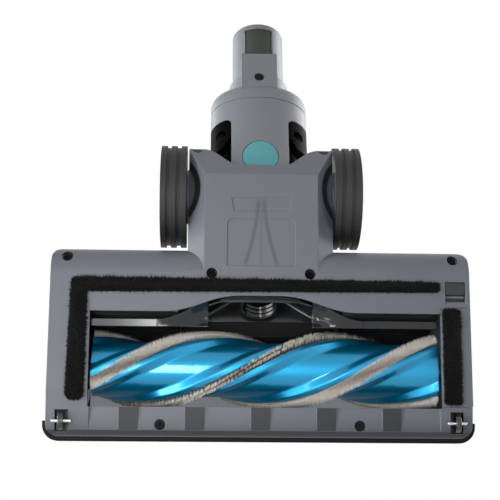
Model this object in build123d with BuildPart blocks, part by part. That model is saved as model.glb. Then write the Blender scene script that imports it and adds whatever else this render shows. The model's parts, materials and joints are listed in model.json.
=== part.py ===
"""Motorised floor head of a stick vacuum, with a helical brush roller and a two-axis neck.

Millimetres. +Z is up and the floor is z = 0, +X is the drive side, -Y is the front.
The origin lies on the floor, under the middle of the whole head.
"""

import os
from math import asin, cos, radians, sin, tan

from build123d import *

os.makedirs("parts", exist_ok=True)

# Nozzle shells
nozzle_width = 250.0
nozzle_front = 40.4  # roller axis to the front face
nozzle_rear = 72.0  # roller axis to the rear face
plan_corner = 7.0
shell_wall = 2.4
sole_height = 3.0
parting_height = 19.0
nose_radius = 36.5
roof_drop = 15.5  # how far the roof falls towards the rear
rear_top_radius = 9.0
fit_gap = 0.2  # between pieces of one body that sit in each other
press_gap = 0.02  # radial, between pieces pressed together
running_gap = 0.05  # radial, between a shaft and its hole

# Front lip
lip_rear = 23.1  # roller axis to the lip's rear edge
lip_front = 36.5  # roller axis to where the lip turns up
lip_height = 6.5
lip_turn = 4.0
lip_bar_top = 11.0
ramp_start = 13.5
tab_width = 11.2
tab_pitch = 38.6
tab_count = 5
recess_drive_gap = 1.0  # lip recesses to the window's drive-side edge
recess_cap_gap = 1.3
bumper_thickness = 2.7
bumper_bottom = 11.0
bumper_top = 18.4
bumper_return = 31.4  # roller axis to the ends that wrap round the corners

# Roller window in the sole
drive_rail = 24.0  # sole beside the window, drive side
cap_rail = 17.7  # sole beside the window, cap side
window_rear = 32.8
window_notch = 42.6
notch_top_half = 21.5
notch_foot_half = 48.6
notch_radius = 60.0
visor_side = 21.0  # nozzle's side to the visor
visor_bottom = 22.0
visor_rear = 6.0  # in front of the roller axis

# Brush roller
roller_height = 24.5
roller_end_gap = 1.0
tip_radius = 24.0
land_radius = 19.5
valley_radius = 16.3
land_half_angle = 20.0
valley_half_angle = 34.0
lobe_rounding = 2.4
strip_count = 3
strip_width = 5.4
strip_root = 3.2  # depth of the groove below the land
helix_lead = 225.0
strip_crossing = 7.5  # where the stiff strip crosses the floor line

# Roller drive and bearing
drive_pulley_radius = 13.0
motor_pulley_radius = 6.5
pulley_width = 9.0
pulley_gap = 1.6  # to the bush beside it
flange_height = 1.3
flange_width = 0.8
belt_thickness = 1.6
belt_gap = 0.3
drive_hex = 14.0
drive_hex_length = 7.0
drive_hub_radius = 8.5
drive_shaft_radius = 3.0
motor_radius = 12.0
motor_back = 50.0
motor_height = 25.0
motor_nose_radius = 5.0
motor_rounding = 2.0
motor_length = 51.6
motor_nose_length = 3.9
motor_shaft_radius = 2.0
bush_radius = 6.0
bush_width = 4.5
bearing_radius = 6.5
bearing_width = 6.0
bearing_boss = 9.0
bearing_depth = 12.0  # nozzle's side to the bearing's inner face
stub_radius = 3.0
stub_grip = 10.0

# Brush chamber and air path
chamber_radius = 26.4
ledge_front = 24.6  # behind the roller axis
ledge_rear = 29.1
ledge_height = 11.2
ledge_rise = 0.4
ledge_thickness = 2.4
cove_height = 14.0
cove_foot_height = 7.2
cove_foot_step = 0.6
chamber_wall = 1.8
chamber_top_angle = 112.0
chamber_end_gap = 2.0  # beyond the window's drive-side edge
duct_start = 31.0
duct_end = 52.0
duct_mouth_half = 47.0
duct_mouth_top = 37.0
duct_mouth_bottom = 8.0
duct_radius = 10.2
duct_roundness = 0.98
duct_floor_cut = 12.0
spigot_radius = 10.8
spigot_length = 7.0
duct_height = 28.0
hose_radius = 12.4
hose_wall = 1.4
hose_rib = 0.9
hose_pitch = 4.0
hose_bend = 60.0
hose_end_at = 40.0  # along the neck

# End cap and latch
cap_front = 22.0
cap_rear = 36.3
cap_step = 23.4
cap_step_inset = 2.0
cap_base = 3.6
cap_arch = 22.7
latch_front = 38.4
latch_rear = 52.1
latch_width = 12.2
latch_side_wall = 2.7
latch_pad_front = 44.0
latch_travel = 3.0
latch_gap = 0.35
latch_base = 1.6
latch_chamfer = 0.7

# Lint strips
velvet_rear_start = 43.2
velvet_rear_end = 52.3
velvet_drive_end = 15.8  # nozzle's side to the rear strip's end
velvet_cap_end = 18.0
velvet_width = 10.2
velvet_drive_gap = 1.6  # from the window's edge
velvet_cap_gap = 0.6
velvet_side_front = 20.0
velvet_clearance = 0.7  # pile tips above the floor

# Rear housing
housing_half = 44.2
housing_front = 44.0  # where its deck leaves the roof
panel_half = 34.2
facet_rise = 10.0
panel_rear = 117.0
housing_rear = 135.4
housing_rear_rise = 10.0
housing_top = 46.0
dip_front = 123.6
dip_flat_half = 16.6
dip_ear_half = 31.2
dip_round = 14.0
dip_trim = 0.3  # off the rear of the ears
well_half = 34.0
well_front = 85.5
cheek_radius = 11.0
cheek_top = 43.0
ear_top = 16.4
ear_front = 124.5
ear_front_top = 13.0
ear_notch_side = 38.9
label_half = 20.5
label_front = 60.5
label_rear = 89.5
label_corner = 4.0
trapezoid_front = 93.8
trapezoid_rear = 102.6
trapezoid_front_half = 16.9
trapezoid_rear_half = 18.1
panel_recess = 0.6

# Wheels
axle_back = 109.0
axle_height = 32.0
axle_radius = 3.0
axle_inner = 27.5
axle_end_depth = 2.9  # inside the tyre's outer side
wheel_side_gap = 1.4  # to the housing
tyre_rib = 3.4
tyre_groove = 2.8
tyre_groove_depth = 1.3
tyre_radius = 32.0
rim_radius = 27.0
hub_boss_radius = 17.0
hub_boss_reach = 3.8  # inside the tyre's inner side
hub_web = 4.0
scoop_radius = 19.0
hub_boss_gap = 0.8  # to the scoop's floor
hub_cap_bulge = 3.0
hub_cap_wall = 1.6
front_wheel_radius = 5.5
front_wheel_width = 3.2
front_wheel_inset = 9.2  # from the nozzle's side
front_wheel_back = -31.6
front_axle_radius = 1.0
front_axle_length = 11.6
front_pocket_width = 7.4
front_pocket_gap = 0.8
axle_seat_radius = 3.0
axle_seat_depth = 0.7
axle_seat_at = 4.6  # from the wheel, towards the middle

# Screws
screw_radius = 1.5
screw_head_radius = 2.8
screw_head_height = 1.8
screw_slot = 3.4
screw_slot_width = 0.8
screw_slot_depth = 0.9
screw_hole_radius = 3.3
screw_boss_radius = 5.2
screw_seat = 12.0
screw_top = 25.0
corner_screw_inset = 9.4  # from the nozzle's side
corner_screw_back = 65.8
middle_screw = (29.4, 55.9)
lip_screw = (58.6, -33.5)
lip_screw_seat = 9.0

# Neck, measured along its own axis from the pitch axis
neck_tilt = 20.0
yoke_half_width = 31.2
yoke_half_depth = 22.0
yoke_wall = 3.2
yoke_start = 49.3
yoke_end = 63.0
tongue_half = 18.1
tongue_slot = 15.7  # half depth of the slot between the two tongues
arch_round = 4.5
yaw_at = 17.5
core_start = 28.0
core_bore = 13.8
core_gap = 0.6  # to the trunnion that turns inside
collar_end = 78.0
collar_round = 9.5
seam_groove = 0.6
trunnion_half_width = 25.0
trunnion_half_depth = 15.2
trunnion_start = -8.0
trunnion_corner = 8.2
trunnion_bore = 13.4
trunnion_boss = 7.5
pivot_radius = 4.0
pivot_cap_radius = 11.0
pivot_cap_depth = 2.4
pivot_cap_gap = 0.5
boss_screw_side = 24.4
boss_screw_at = 38.6
boss_screw_level = 10.0
boss_screw_depth = 14.0

# Connector tube
tube_radius = 17.0
tube_wall = 2.6
tube_end = 130.0
base_radius = 19.3
base_end = 86.0
pad_half = 11.7
pad_end = 101.5
pad_level = 19.9
pocket_half = 9.2
pocket_start = 102.5
pocket_end = 126.5
pocket_depth = 1.6
tube_screw_at = 82.0
tube_screw_seat = 17.5

# Derived places
neck_reach = axle_back + tube_end * cos(radians(neck_tilt)) + tube_radius * sin(radians(neck_tilt))
roller_y = (nozzle_front + bumper_thickness - neck_reach) / 2
front_y = roller_y - nozzle_front
rear_y = roller_y + nozzle_rear
axle_y = roller_y + axle_back
roof_height = parting_height + nose_radius
rear_radius = parting_height - sole_height
side_x = nozzle_width / 2
window_drive = side_x - drive_rail
window_cap = side_x - cap_rail
recess_drive_end = window_drive - recess_drive_gap
recess_cap_end = window_cap - recess_cap_gap
visor_half = side_x - visor_side
tall = roof_height + nose_radius  # taller than anything that is cut
roller_start = -window_cap + roller_end_gap
roller_end = window_drive - roller_end_gap
motor_y = roller_y + motor_back
bush_start = side_x - shell_wall - bush_width
pulley_end = bush_start - pulley_gap
pulley_start = pulley_end - pulley_width
motor_end = pulley_start - motor_nose_length
motor_start = motor_end - motor_length
chamber_end = window_drive + chamber_end_gap
bearing_start = bearing_depth - side_x
bearing_outer = bearing_start - bearing_width
latch_outer = side_x - latch_side_wall
latch_inner = latch_outer - latch_width
velvet_rear_drive = side_x - velvet_drive_end
velvet_rear_cap = side_x - velvet_cap_end
velvet_drive_inner = window_drive + velvet_drive_gap
velvet_cap_inner = window_cap + velvet_cap_gap
wheel_inner = housing_half + wheel_side_gap
wheel_outer = wheel_inner + 3 * tyre_rib + 2 * tyre_groove
axle_outer = wheel_outer - axle_end_depth
hub_boss_inner = wheel_inner - hub_boss_reach
scoop_floor = hub_boss_inner - hub_boss_gap
front_wheel_side = side_x - front_wheel_inset
corner_screw = (side_x - corner_screw_inset, corner_screw_back)

neck_plane = Plane(
    origin=(0, axle_y, axle_height),
    x_dir=(1, 0, 0),
    z_dir=(0, cos(radians(neck_tilt)), sin(radians(neck_tilt))),
)


def across(x):
    """Plane across the head at one X, drawn in Y and Z."""
    return Plane.YZ.offset(x)


def keep(piece, node):
    """Names a finished piece and writes it."""
    piece.part.label = node
    export_step(piece.part, f"parts/{node}.step")


# Outlines that several pieces share
def nozzle_profile(inset):
    """Side outline of the nozzle, drawn in by a wall."""
    nose_centre = (front_y + nose_radius, parting_height)
    roof_end = (rear_y - rear_radius, roof_height - roof_drop)
    roof_run = roof_end[0] - nose_centre[0]
    roof_bend = (roof_run**2 + roof_drop**2) / (2 * roof_drop)
    rear_slope = tan(asin(roof_run / roof_bend))
    half = cos(radians(45))
    with BuildSketch(Plane.YZ) as outline:
        with BuildLine():
            ThreePointArc(
                (front_y, parting_height),
                (nose_centre[0] - nose_radius * half, parting_height + nose_radius * half),
                (nose_centre[0], roof_height),
            )
            TangentArc((nose_centre[0], roof_height), roof_end, tangent=(1, 0))
            Polyline(
                roof_end,
                (rear_y, roof_end[1] - rear_slope * rear_radius),
                (rear_y, parting_height),
            )
            ThreePointArc(
                (rear_y, parting_height),
                (rear_y - rear_radius * (1 - half), parting_height - rear_radius * half),
                (rear_y - rear_radius, sole_height),
            )
            Polyline(
                (rear_y - rear_radius, sole_height),
                (roller_y - ramp_start, sole_height),
                (roller_y - lip_front, lip_height),
                (front_y, lip_height + lip_turn),
                (front_y, parting_height),
            )
        make_face()
        fillet(outline.vertices().group_by(Axis.X)[-1].sort_by(Axis.Y)[-1], rear_top_radius)
        if inset:
            offset(amount=-inset, kind=Kind.INTERSECTION)
    return outline.sketch


def nozzle_body(inset):
    """Whole nozzle with rounded corners in plan, drawn in by a wall."""
    with BuildPart() as body:
        extrude(nozzle_profile(inset), amount=side_x - inset, both=True)
        with BuildSketch():
            with Locations((0, (front_y + rear_y) / 2)):
                RectangleRounded(
                    nozzle_width - 2 * inset, rear_y - front_y - 2 * inset, plan_corner - inset
                )
        extrude(amount=tall, mode=Mode.INTERSECT)
    return body.part


def housing_body(inset):
    """Rear housing that carries the neck and the wheels, drawn in by a wall."""
    start = roller_y + housing_front
    rear = roller_y + housing_rear
    with BuildPart() as body:
        with BuildSketch(Plane.YZ):
            with BuildLine():
                Polyline(
                    (start, sole_height + inset),
                    (roller_y + panel_rear, sole_height + inset),
                    (rear, sole_height + housing_rear_rise + inset),
                    (rear, ear_top),
                    (roller_y + ear_front, ear_front_top),
                    (axle_y + cheek_radius, axle_height - cheek_radius),
                    (axle_y + cheek_radius, axle_height),
                )
                ThreePointArc(
                    (axle_y + cheek_radius, axle_height),
                    (
                        axle_y + cheek_radius * cos(radians(45)),
                        axle_height + cheek_radius * sin(radians(45)),
                    ),
                    (axle_y, cheek_top),
                )
                Polyline(
                    (axle_y, cheek_top),
                    (roller_y + well_front, cheek_top),
                    (roller_y + well_front - inset, housing_top - inset),
                    (start, housing_top - inset),
                    (start, sole_height + inset),
                )
            make_face()
        extrude(amount=housing_half - inset, both=True)
        with BuildSketch(Plane(origin=(0, start, 0), x_dir=(-1, 0, 0), z_dir=(0, 1, 0))):
            with BuildLine():
                Polyline(
                    (-panel_half, sole_height),
                    (panel_half, sole_height),
                    (housing_half, sole_height + facet_rise),
                    (housing_half, tall),
                    (-housing_half, tall),
                    (-housing_half, sole_height + facet_rise),
                    close=True,
                )
            make_face()
            if inset:
                offset(amount=-inset, kind=Kind.INTERSECTION)
        extrude(amount=rear - start, mode=Mode.INTERSECT)
    return body.part


def front_room():
    """Room inside the rear housing, in front of the neck's well."""
    with BuildPart() as room:
        add(housing_body(shell_wall))
        with Locations((0, roller_y + well_front - shell_wall, 0)):
            Box(
                nozzle_width,
                nozzle_width,
                tall,
                align=(Align.CENTER, Align.MAX, Align.MIN),
                mode=Mode.INTERSECT,
            )
    return room.part


def neck_well():
    """Well between the cheeks, open above and behind, where the neck swings."""
    floor = sole_height + shell_wall
    with BuildPart() as well:
        with BuildSketch(Plane.YZ):
            with BuildLine():
                Polyline(
                    (roller_y + well_front, tall),
                    (roller_y + well_front, floor),
                    (roller_y + panel_rear, floor),
                    (roller_y + housing_rear, floor + housing_rear_rise),
                    (roller_y + housing_rear, tall),
                    close=True,
                )
            make_face()
        extrude(amount=well_half, both=True)
    return well.part


def rod(radius, start, end, y, z):
    """Round bar along X between two places."""
    with BuildPart() as bar:
        with BuildSketch(across(start)):
            with Locations((y, z)):
                Circle(radius)
        extrude(amount=end - start)
    return bar.part


def outer_body():
    """Nozzle and rear housing as one solid."""
    with BuildPart() as body:
        add(nozzle_body(0))
        add(housing_body(0))
    return body.part


def dip_outline():
    """Plan of the soft dip in the rear edge, under the neck."""
    dip_rear = roller_y + housing_rear - dip_trim
    with BuildSketch() as outline:
        with BuildLine():
            Polyline(
                (-side_x, dip_rear),
                (-dip_ear_half, dip_rear),
                (-dip_flat_half, roller_y + dip_front),
                (dip_flat_half, roller_y + dip_front),
                (dip_ear_half, dip_rear),
                (side_x, dip_rear),
                (side_x, roller_y + nozzle_width),
                (-side_x, roller_y + nozzle_width),
                close=True,
            )
        make_face()
        soft_corners = outline.vertices().filter_by_position(
            Axis.X, -dip_ear_half - fit_gap, dip_ear_half + fit_gap
        )
        fillet(soft_corners, dip_round)
    return outline.sketch


def hollow_body():
    """Both shells as one hollow body, before they are parted."""
    with BuildPart() as body:
        add(outer_body())
        add(nozzle_body(shell_wall), mode=Mode.SUBTRACT)
        add(front_room(), mode=Mode.SUBTRACT)
        add(neck_well(), mode=Mode.SUBTRACT)
        extrude(dip_outline(), amount=tall, mode=Mode.SUBTRACT)
        for side in (1, -1):
            add(
                rod(scoop_radius, side * scoop_floor, side * side_x, axle_y, axle_height),
                mode=Mode.SUBTRACT,
            )
    return body.part


shell_pair = hollow_body()
rear_screws = [
    (side * x, roller_y + y) for x, y in (corner_screw, middle_screw) for side in (1, -1)
]
lip_screws = [(side * lip_screw[0], roller_y + lip_screw[1]) for side in (1, -1)]
front_wheels = [(side * front_wheel_side, roller_y + front_wheel_back) for side in (1, -1)]
upright = (Align.CENTER, Align.CENTER, Align.MIN)


def lip_solids():
    """Solid bar behind the lip, pads round the front wheels and screw bosses, inside the nozzle."""
    bar_front = front_y + shell_wall
    bar_rear = roller_y - lip_rear
    pad_inner = front_wheel_side - front_axle_length / 2 - 2 * front_axle_radius
    pad_outer = side_x - shell_wall
    with BuildPart() as solids:
        with Locations(((window_drive - window_cap) / 2, bar_front, 0)):
            Box(
                window_drive + window_cap + 2 * shell_wall,
                bar_rear - bar_front,
                lip_bar_top,
                align=(Align.CENTER, Align.MIN, Align.MIN),
            )
        for side in (1, -1):
            with Locations((side * (pad_inner + pad_outer) / 2, bar_front, 0)):
                Box(
                    pad_outer - pad_inner,
                    roller_y - cap_front - fit_gap - shell_wall / 2 - bar_front,
                    lip_bar_top + shell_wall,
                    align=(Align.CENTER, Align.MIN, Align.MIN),
                )
        with Locations(*rear_screws, *lip_screws):
            Cylinder(screw_boss_radius, parting_height, align=upright)
        add(nozzle_body(0), mode=Mode.INTERSECT)
    return solids.part


def cap_outline(gap):
    """Plan of the end cap on the sole, grown by a gap, with the step that hides its rear side."""
    inner = -window_cap + gap
    outer = -side_x - gap
    stepped = -side_x + cap_step_inset - gap
    with BuildSketch() as outline:
        with BuildLine():
            Polyline(
                (inner, roller_y - cap_front - gap),
                (outer, roller_y - cap_front - gap),
                (outer, roller_y + cap_step + gap),
                (stepped, roller_y + cap_step + gap),
                (stepped, roller_y + cap_rear + gap),
                (inner, roller_y + cap_rear + gap),
                close=True,
            )
        make_face()
    return outline.sketch


def cap_side(gap):
    """Side outline of the end cap: straight below, an arch over the roller axis above."""
    centre = roller_y + (cap_step - cap_front) / 2
    with BuildSketch(across(-side_x - gap)) as outline:
        with Locations((centre, roller_height)):
            Circle(cap_arch + gap)
        with Locations((centre, 0)):
            Rectangle(cap_step + cap_front + 2 * gap, roller_height, align=(Align.CENTER, Align.MIN))
    return outline.sketch


def window_outline():
    """Plan of the roller window, with the notch in its rear edge."""
    with BuildSketch() as outline:
        with BuildLine():
            Polyline(
                (-window_cap, roller_y - lip_rear),
                (window_drive, roller_y - lip_rear),
                (window_drive, roller_y + window_rear),
                (notch_foot_half, roller_y + window_rear),
                (notch_top_half, roller_y + window_notch),
                (-notch_top_half, roller_y + window_notch),
                (-notch_foot_half, roller_y + window_rear),
                (-window_cap, roller_y + window_rear),
                close=True,
            )
        make_face()
        inner_corners = outline.vertices().filter_by_position(
            Axis.X, -notch_foot_half - fit_gap, notch_foot_half + fit_gap
        )
        fillet(inner_corners, notch_radius)
    return outline.sketch


def rear_plane(y):
    """Plane across the head's depth, drawn in -X and Z, facing the rear."""
    return Plane(origin=(0, roller_y + y, 0), x_dir=(-1, 0, 0), z_dir=(0, 1, 0))


def hose_hole():
    """Clearance for the hose in the wall at the front of the well."""
    with BuildPart() as hole:
        with BuildSketch(rear_plane(well_front - 2 * shell_wall)):
            with Locations((0, duct_height)):
                Circle(hose_radius + hose_rib + fit_gap)
        extrude(amount=3 * shell_wall)
    return hole.part


# Lower shell: sole, roller window, lip and the underside of the rear housing
with BuildPart() as lower_shell:
    add(shell_pair)
    add(lip_solids())
    split(bisect_by=Plane.XY.offset(parting_height), keep=Keep.BOTTOM)
    add(hose_hole(), mode=Mode.SUBTRACT)
    extrude(window_outline(), amount=parting_height, mode=Mode.SUBTRACT)
    # flat recess floors between the ramped tabs
    tab_edges = [
        (index - (tab_count - 1) / 2) * tab_pitch + side * tab_width / 2
        for index in range(tab_count)
        for side in (-1, 1)
    ]
    recess_edges = [-recess_cap_end, *tab_edges, recess_drive_end]
    with BuildSketch():
        for left, right in zip(recess_edges[::2], recess_edges[1::2]):
            with Locations(((left + right) / 2, roller_y - lip_front)):
                Rectangle(right - left, lip_front - lip_rear, align=(Align.CENTER, Align.MIN))
    extrude(amount=lip_height, mode=Mode.SUBTRACT)
    # end cap seat and latch pocket
    extrude(cap_outline(fit_gap), amount=parting_height, mode=Mode.SUBTRACT)
    latch_mid = (-(latch_inner + latch_outer) / 2, roller_y + (latch_front + latch_rear) / 2)
    pocket_front = roller_y + latch_front + latch_base
    with Locations((latch_mid[0], latch_mid[1], sole_height)):
        Box(
            latch_outer - latch_inner,
            latch_rear - latch_front,
            panel_recess,
            align=upright,
            mode=Mode.SUBTRACT,
        )
    with Locations((latch_mid[0], roller_y + latch_rear, 0)):
        Box(
            latch_outer - latch_inner,
            roller_y + latch_rear - pocket_front,
            sole_height + shell_wall + fit_gap,
            align=(Align.CENTER, Align.MAX, Align.MIN),
            mode=Mode.SUBTRACT,
        )
    # screw wells
    with Locations(*rear_screws):
        Cylinder(screw_hole_radius, screw_seat, align=upright, mode=Mode.SUBTRACT)
    with Locations(*lip_screws):
        Cylinder(screw_hole_radius, lip_screw_seat, align=upright, mode=Mode.SUBTRACT)
    with Locations(*rear_screws, *lip_screws):
        Cylinder(screw_radius + fit_gap, parting_height, align=upright, mode=Mode.SUBTRACT)
    # shallow recesses on the panel
    with BuildSketch(Plane.XY.offset(sole_height)):
        with BuildLine():
            Polyline(
                (-label_half, roller_y + label_front),
                (label_half, roller_y + label_front),
                (label_half, roller_y + label_rear),
                (-label_half, roller_y + label_rear),
                close=True,
            )
        label_face = make_face()
        fillet(label_face.vertices().group_by(Axis.Y)[-1], label_corner)
        with BuildLine():
            Polyline(
                (-trapezoid_front_half, roller_y + trapezoid_front),
                (trapezoid_front_half, roller_y + trapezoid_front),
                (trapezoid_rear_half, roller_y + trapezoid_rear),
                (-trapezoid_rear_half, roller_y + trapezoid_rear),
                close=True,
            )
        make_face()
    extrude(amount=panel_recess, mode=Mode.SUBTRACT)
    # pockets and slots of the small front wheels
    with Locations(*front_wheels):
        Box(
            front_pocket_width,
            2 * (front_wheel_radius + front_pocket_gap),
            2 * front_wheel_radius + front_pocket_gap,
            align=upright,
            mode=Mode.SUBTRACT,
        )
        Box(
            front_axle_length + 2 * fit_gap,
            2 * (front_axle_radius + running_gap),
            front_wheel_radius + front_axle_radius + running_gap,
            align=upright,
            mode=Mode.SUBTRACT,
        )
    axle_seats = [
        (side * (front_wheel_side - axle_seat_at), roller_y + front_wheel_back) for side in (1, -1)
    ]
    with Locations(*axle_seats):
        Cylinder(axle_seat_radius, sole_height + axle_seat_depth, align=upright, mode=Mode.SUBTRACT)
    # notches in the rear ears
    with Locations(*[(side * ear_notch_side, roller_y + housing_rear) for side in (1, -1)]):
        Cylinder(screw_hole_radius, parting_height, align=upright, mode=Mode.SUBTRACT)
keep(lower_shell, "lower_shell")


def cut_box(x, y, z):
    """Box between two places on each axis, as (low, high) pairs."""
    with BuildPart() as block:
        with Locations((x[0], y[0], z[0])):
            Box(x[1] - x[0], y[1] - y[0], z[1] - z[0], align=(Align.MIN, Align.MIN, Align.MIN))
    return block.part


def upper_bosses():
    """Screw bosses under the roof and the boss round the drive bush, inside the outer body."""
    with BuildPart() as bosses:
        with Locations(*rear_screws):
            Cylinder(screw_boss_radius, tall, align=upright)
        add(rod(bush_radius + shell_wall, bush_start, side_x, roller_y, roller_height))
        add(outer_body(), mode=Mode.INTERSECT)
    return bosses.part


# Upper cover: roof, cheeks beside the neck and the boss that holds the drive bush
with BuildPart() as upper_cover:
    add(shell_pair)
    add(upper_bosses())
    split(bisect_by=Plane.XY.offset(parting_height), keep=Keep.TOP)
    add(
        cut_box(
            (-visor_half, visor_half),
            (front_y, roller_y - visor_rear),
            (visor_bottom, tall),
        ),
        mode=Mode.SUBTRACT,
    )
    extrude(cap_side(fit_gap), amount=shell_wall + 2 * fit_gap, mode=Mode.SUBTRACT)
    for side in (1, -1):
        add(
            rod(axle_radius + press_gap, side * well_half, side * housing_half, axle_y, axle_height),
            mode=Mode.SUBTRACT,
        )
    add(hose_hole(), mode=Mode.SUBTRACT)
    with Locations(*rear_screws):
        Cylinder(screw_radius + press_gap, screw_top + fit_gap, align=upright, mode=Mode.SUBTRACT)
    add(
        rod(bush_radius + press_gap, bush_start, side_x - shell_wall, roller_y, roller_height),
        mode=Mode.SUBTRACT,
    )
keep(upper_cover, "upper_cover")

# Clear visor in the nose
with BuildPart() as front_visor:
    add(shell_pair)
    add(
        cut_box(
            (-visor_half + fit_gap, visor_half - fit_gap),
            (front_y, roller_y - visor_rear - fit_gap),
            (visor_bottom + fit_gap, tall),
        ),
        mode=Mode.INTERSECT,
    )
keep(front_visor, "front_visor")

# Soft bumper along the front, wrapped round both corners
with BuildPart() as bumper:
    with BuildSketch(Plane.XY.offset(bumper_bottom)):
        with Locations((0, (front_y + rear_y) / 2)):
            RectangleRounded(
                nozzle_width + 2 * bumper_thickness,
                rear_y - front_y + 2 * bumper_thickness,
                plan_corner + bumper_thickness,
            )
            RectangleRounded(nozzle_width, rear_y - front_y, plan_corner, mode=Mode.SUBTRACT)
        with Locations((0, roller_y - bumper_return)):
            Rectangle(
                2 * nozzle_width, nozzle_width, align=(Align.CENTER, Align.MAX), mode=Mode.INTERSECT
            )
    extrude(amount=bumper_top - bumper_bottom)
    outer_faces = bumper.faces().filter_by(GeomType.PLANE).sort_by(Axis.Y)
    fillet(outer_faces[0].edges().filter_by(Axis.X), bumper_thickness / 3)
keep(bumper, "bumper")

# Brush chamber: curved liner behind and above the roller, with the drive-side end wall
chamber_foot = roller_y + window_rear + fit_gap
chamber_floor = sole_height + shell_wall
chamber_outer = chamber_radius + chamber_wall


def chamber_point(radius, angle):
    """Point at one angle about the roller axis, as (Y, Z)."""
    return (
        roller_y + radius * cos(radians(angle)),
        roller_height + radius * sin(radians(angle)),
    )


with BuildPart() as brush_chamber:
    with BuildSketch(across(roller_start)):
        with BuildLine():
            ThreePointArc(
                chamber_point(chamber_radius, chamber_top_angle),
                chamber_point(chamber_radius, chamber_top_angle / 2),
                chamber_point(chamber_radius, 0),
            )
            # ledge that hangs behind the roller and the cove between it and the window's edge
            Polyline(
                chamber_point(chamber_radius, 0),
                (roller_y + chamber_radius, ledge_height + ledge_thickness),
                (roller_y + ledge_front, ledge_height + ledge_thickness),
                (roller_y + ledge_front, ledge_height + ledge_rise),
                (roller_y + ledge_rear, ledge_height),
                (roller_y + ledge_rear, cove_height),
                (chamber_foot - cove_foot_step, cove_foot_height),
                (chamber_foot, chamber_floor),
                (chamber_foot + chamber_wall, chamber_floor),
                chamber_point(chamber_outer, 0),
            )
            ThreePointArc(
                chamber_point(chamber_outer, 0),
                chamber_point(chamber_outer, chamber_top_angle / 2),
                chamber_point(chamber_outer, chamber_top_angle),
            )
            Line(
                chamber_point(chamber_outer, chamber_top_angle),
                chamber_point(chamber_radius, chamber_top_angle),
            )
        make_face()
    extrude(amount=chamber_end - roller_start)
    with BuildSketch(across(chamber_end)):
        with BuildLine():
            ThreePointArc(
                chamber_point(chamber_outer, chamber_top_angle),
                chamber_point(chamber_outer, chamber_top_angle / 2),
                chamber_point(chamber_outer, 0),
            )
            Polyline(
                chamber_point(chamber_outer, 0),
                (chamber_foot + chamber_wall, chamber_floor),
                (roller_y - ramp_start, chamber_floor),
                (roller_y - lip_rear + fit_gap, lip_bar_top),
                (roller_y - lip_rear + fit_gap, roller_height),
                chamber_point(chamber_outer, chamber_top_angle),
            )
        make_face()
        with Locations((roller_y, roller_height)):
            Circle(drive_hub_radius + 2 * fit_gap, mode=Mode.SUBTRACT)
    extrude(amount=chamber_wall)
    add(
        cut_box(
            (-duct_mouth_half - chamber_wall - fit_gap, duct_mouth_half + chamber_wall + fit_gap),
            (roller_y + chamber_radius * cos(radians(45)), roller_y + window_notch),
            (0, duct_mouth_top + chamber_wall + fit_gap),
        ),
        mode=Mode.SUBTRACT,
    )
keep(brush_chamber, "brush_chamber")


def duct_solid(grow):
    """Flared duct from the wide mouth behind the roller to the round hose spigot."""
    middle = (duct_mouth_top + duct_mouth_bottom) / 2
    height = duct_mouth_top - duct_mouth_bottom
    with BuildPart() as solid:
        with BuildSketch(rear_plane(duct_start)):
            with Locations((0, middle)):
                RectangleRounded(
                    2 * (duct_mouth_half + grow), height + 2 * grow, height / 3 + grow
                )
        with BuildSketch(rear_plane(duct_end)):
            with Locations((0, duct_height)):
                RectangleRounded(
                    2 * (duct_radius + grow),
                    2 * (duct_radius + grow),
                    (duct_radius + grow) * duct_roundness,
                )
        loft(ruled=False)
    return solid.part


with BuildPart() as suction_duct:
    add(duct_solid(chamber_wall))
    with BuildSketch(rear_plane(duct_end)):
        with Locations((0, duct_height)):
            Circle(spigot_radius)
    extrude(amount=spigot_length)
    add(duct_solid(0), mode=Mode.SUBTRACT)
    with BuildSketch(rear_plane(duct_end - fit_gap)):
        with Locations((0, duct_height)):
            Circle(spigot_radius - chamber_wall)
    extrude(amount=spigot_length + 2 * fit_gap, mode=Mode.SUBTRACT)
    # open from below over the notch in the sole
    extrude(window_outline(), amount=duct_floor_cut, mode=Mode.SUBTRACT)
keep(suction_duct, "suction_duct")


# Flexible hose from the spigot, through the well, into the neck
hose_start = roller_y + duct_end + fit_gap
hose_turn_y = axle_y - (axle_height - duct_height) / tan(radians(neck_tilt))
neck_axis = neck_plane.z_dir
with BuildPart() as flexible_hose:
    with BuildLine() as hose_path:
        FilletPolyline(
            (0, hose_start, duct_height),
            (0, hose_turn_y, duct_height),
            neck_plane.origin + neck_axis * hose_end_at,
            radius=hose_bend,
        )
    with BuildSketch(Plane(origin=hose_path.line @ 0, z_dir=hose_path.line % 0)):
        Circle(hose_radius)
        Circle(hose_radius - hose_wall, mode=Mode.SUBTRACT)
    sweep()
    rib_count = int((hose_turn_y - hose_start) / hose_pitch) - 2
    for index in range(rib_count):
        with BuildSketch(
            Plane(origin=(0, hose_start + (index + 0.5) * hose_pitch, duct_height), z_dir=(0, 1, 0))
        ):
            Circle(hose_radius + hose_rib)
            Circle(hose_radius - hose_wall / 2, mode=Mode.SUBTRACT)
        extrude(amount=hose_pitch / 2)
keep(flexible_hose, "flexible_hose")


# Brush roller: twisted core with raised lands, and a bristle strip let into each land
strip_angle = -90 - 360 * (roller_start - strip_crossing) / helix_lead
roller_length = roller_end - roller_start
roller_twist = -360 * roller_length / helix_lead
roller_plane = Plane(origin=(roller_start, roller_y, roller_height), x_dir=(0, 1, 0), z_dir=(1, 0, 0))


def polar(radius, angle):
    """Point of the roller's section."""
    return (radius * cos(radians(angle)), radius * sin(radians(angle)))


def twisted(section):
    """Carries a section along the roller while it turns about the axis."""
    return Solid.extrude_linear_with_rotation(
        section,
        center=roller_plane.origin,
        normal=(roller_length, 0, 0),
        angle=roller_twist,
    )


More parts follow.
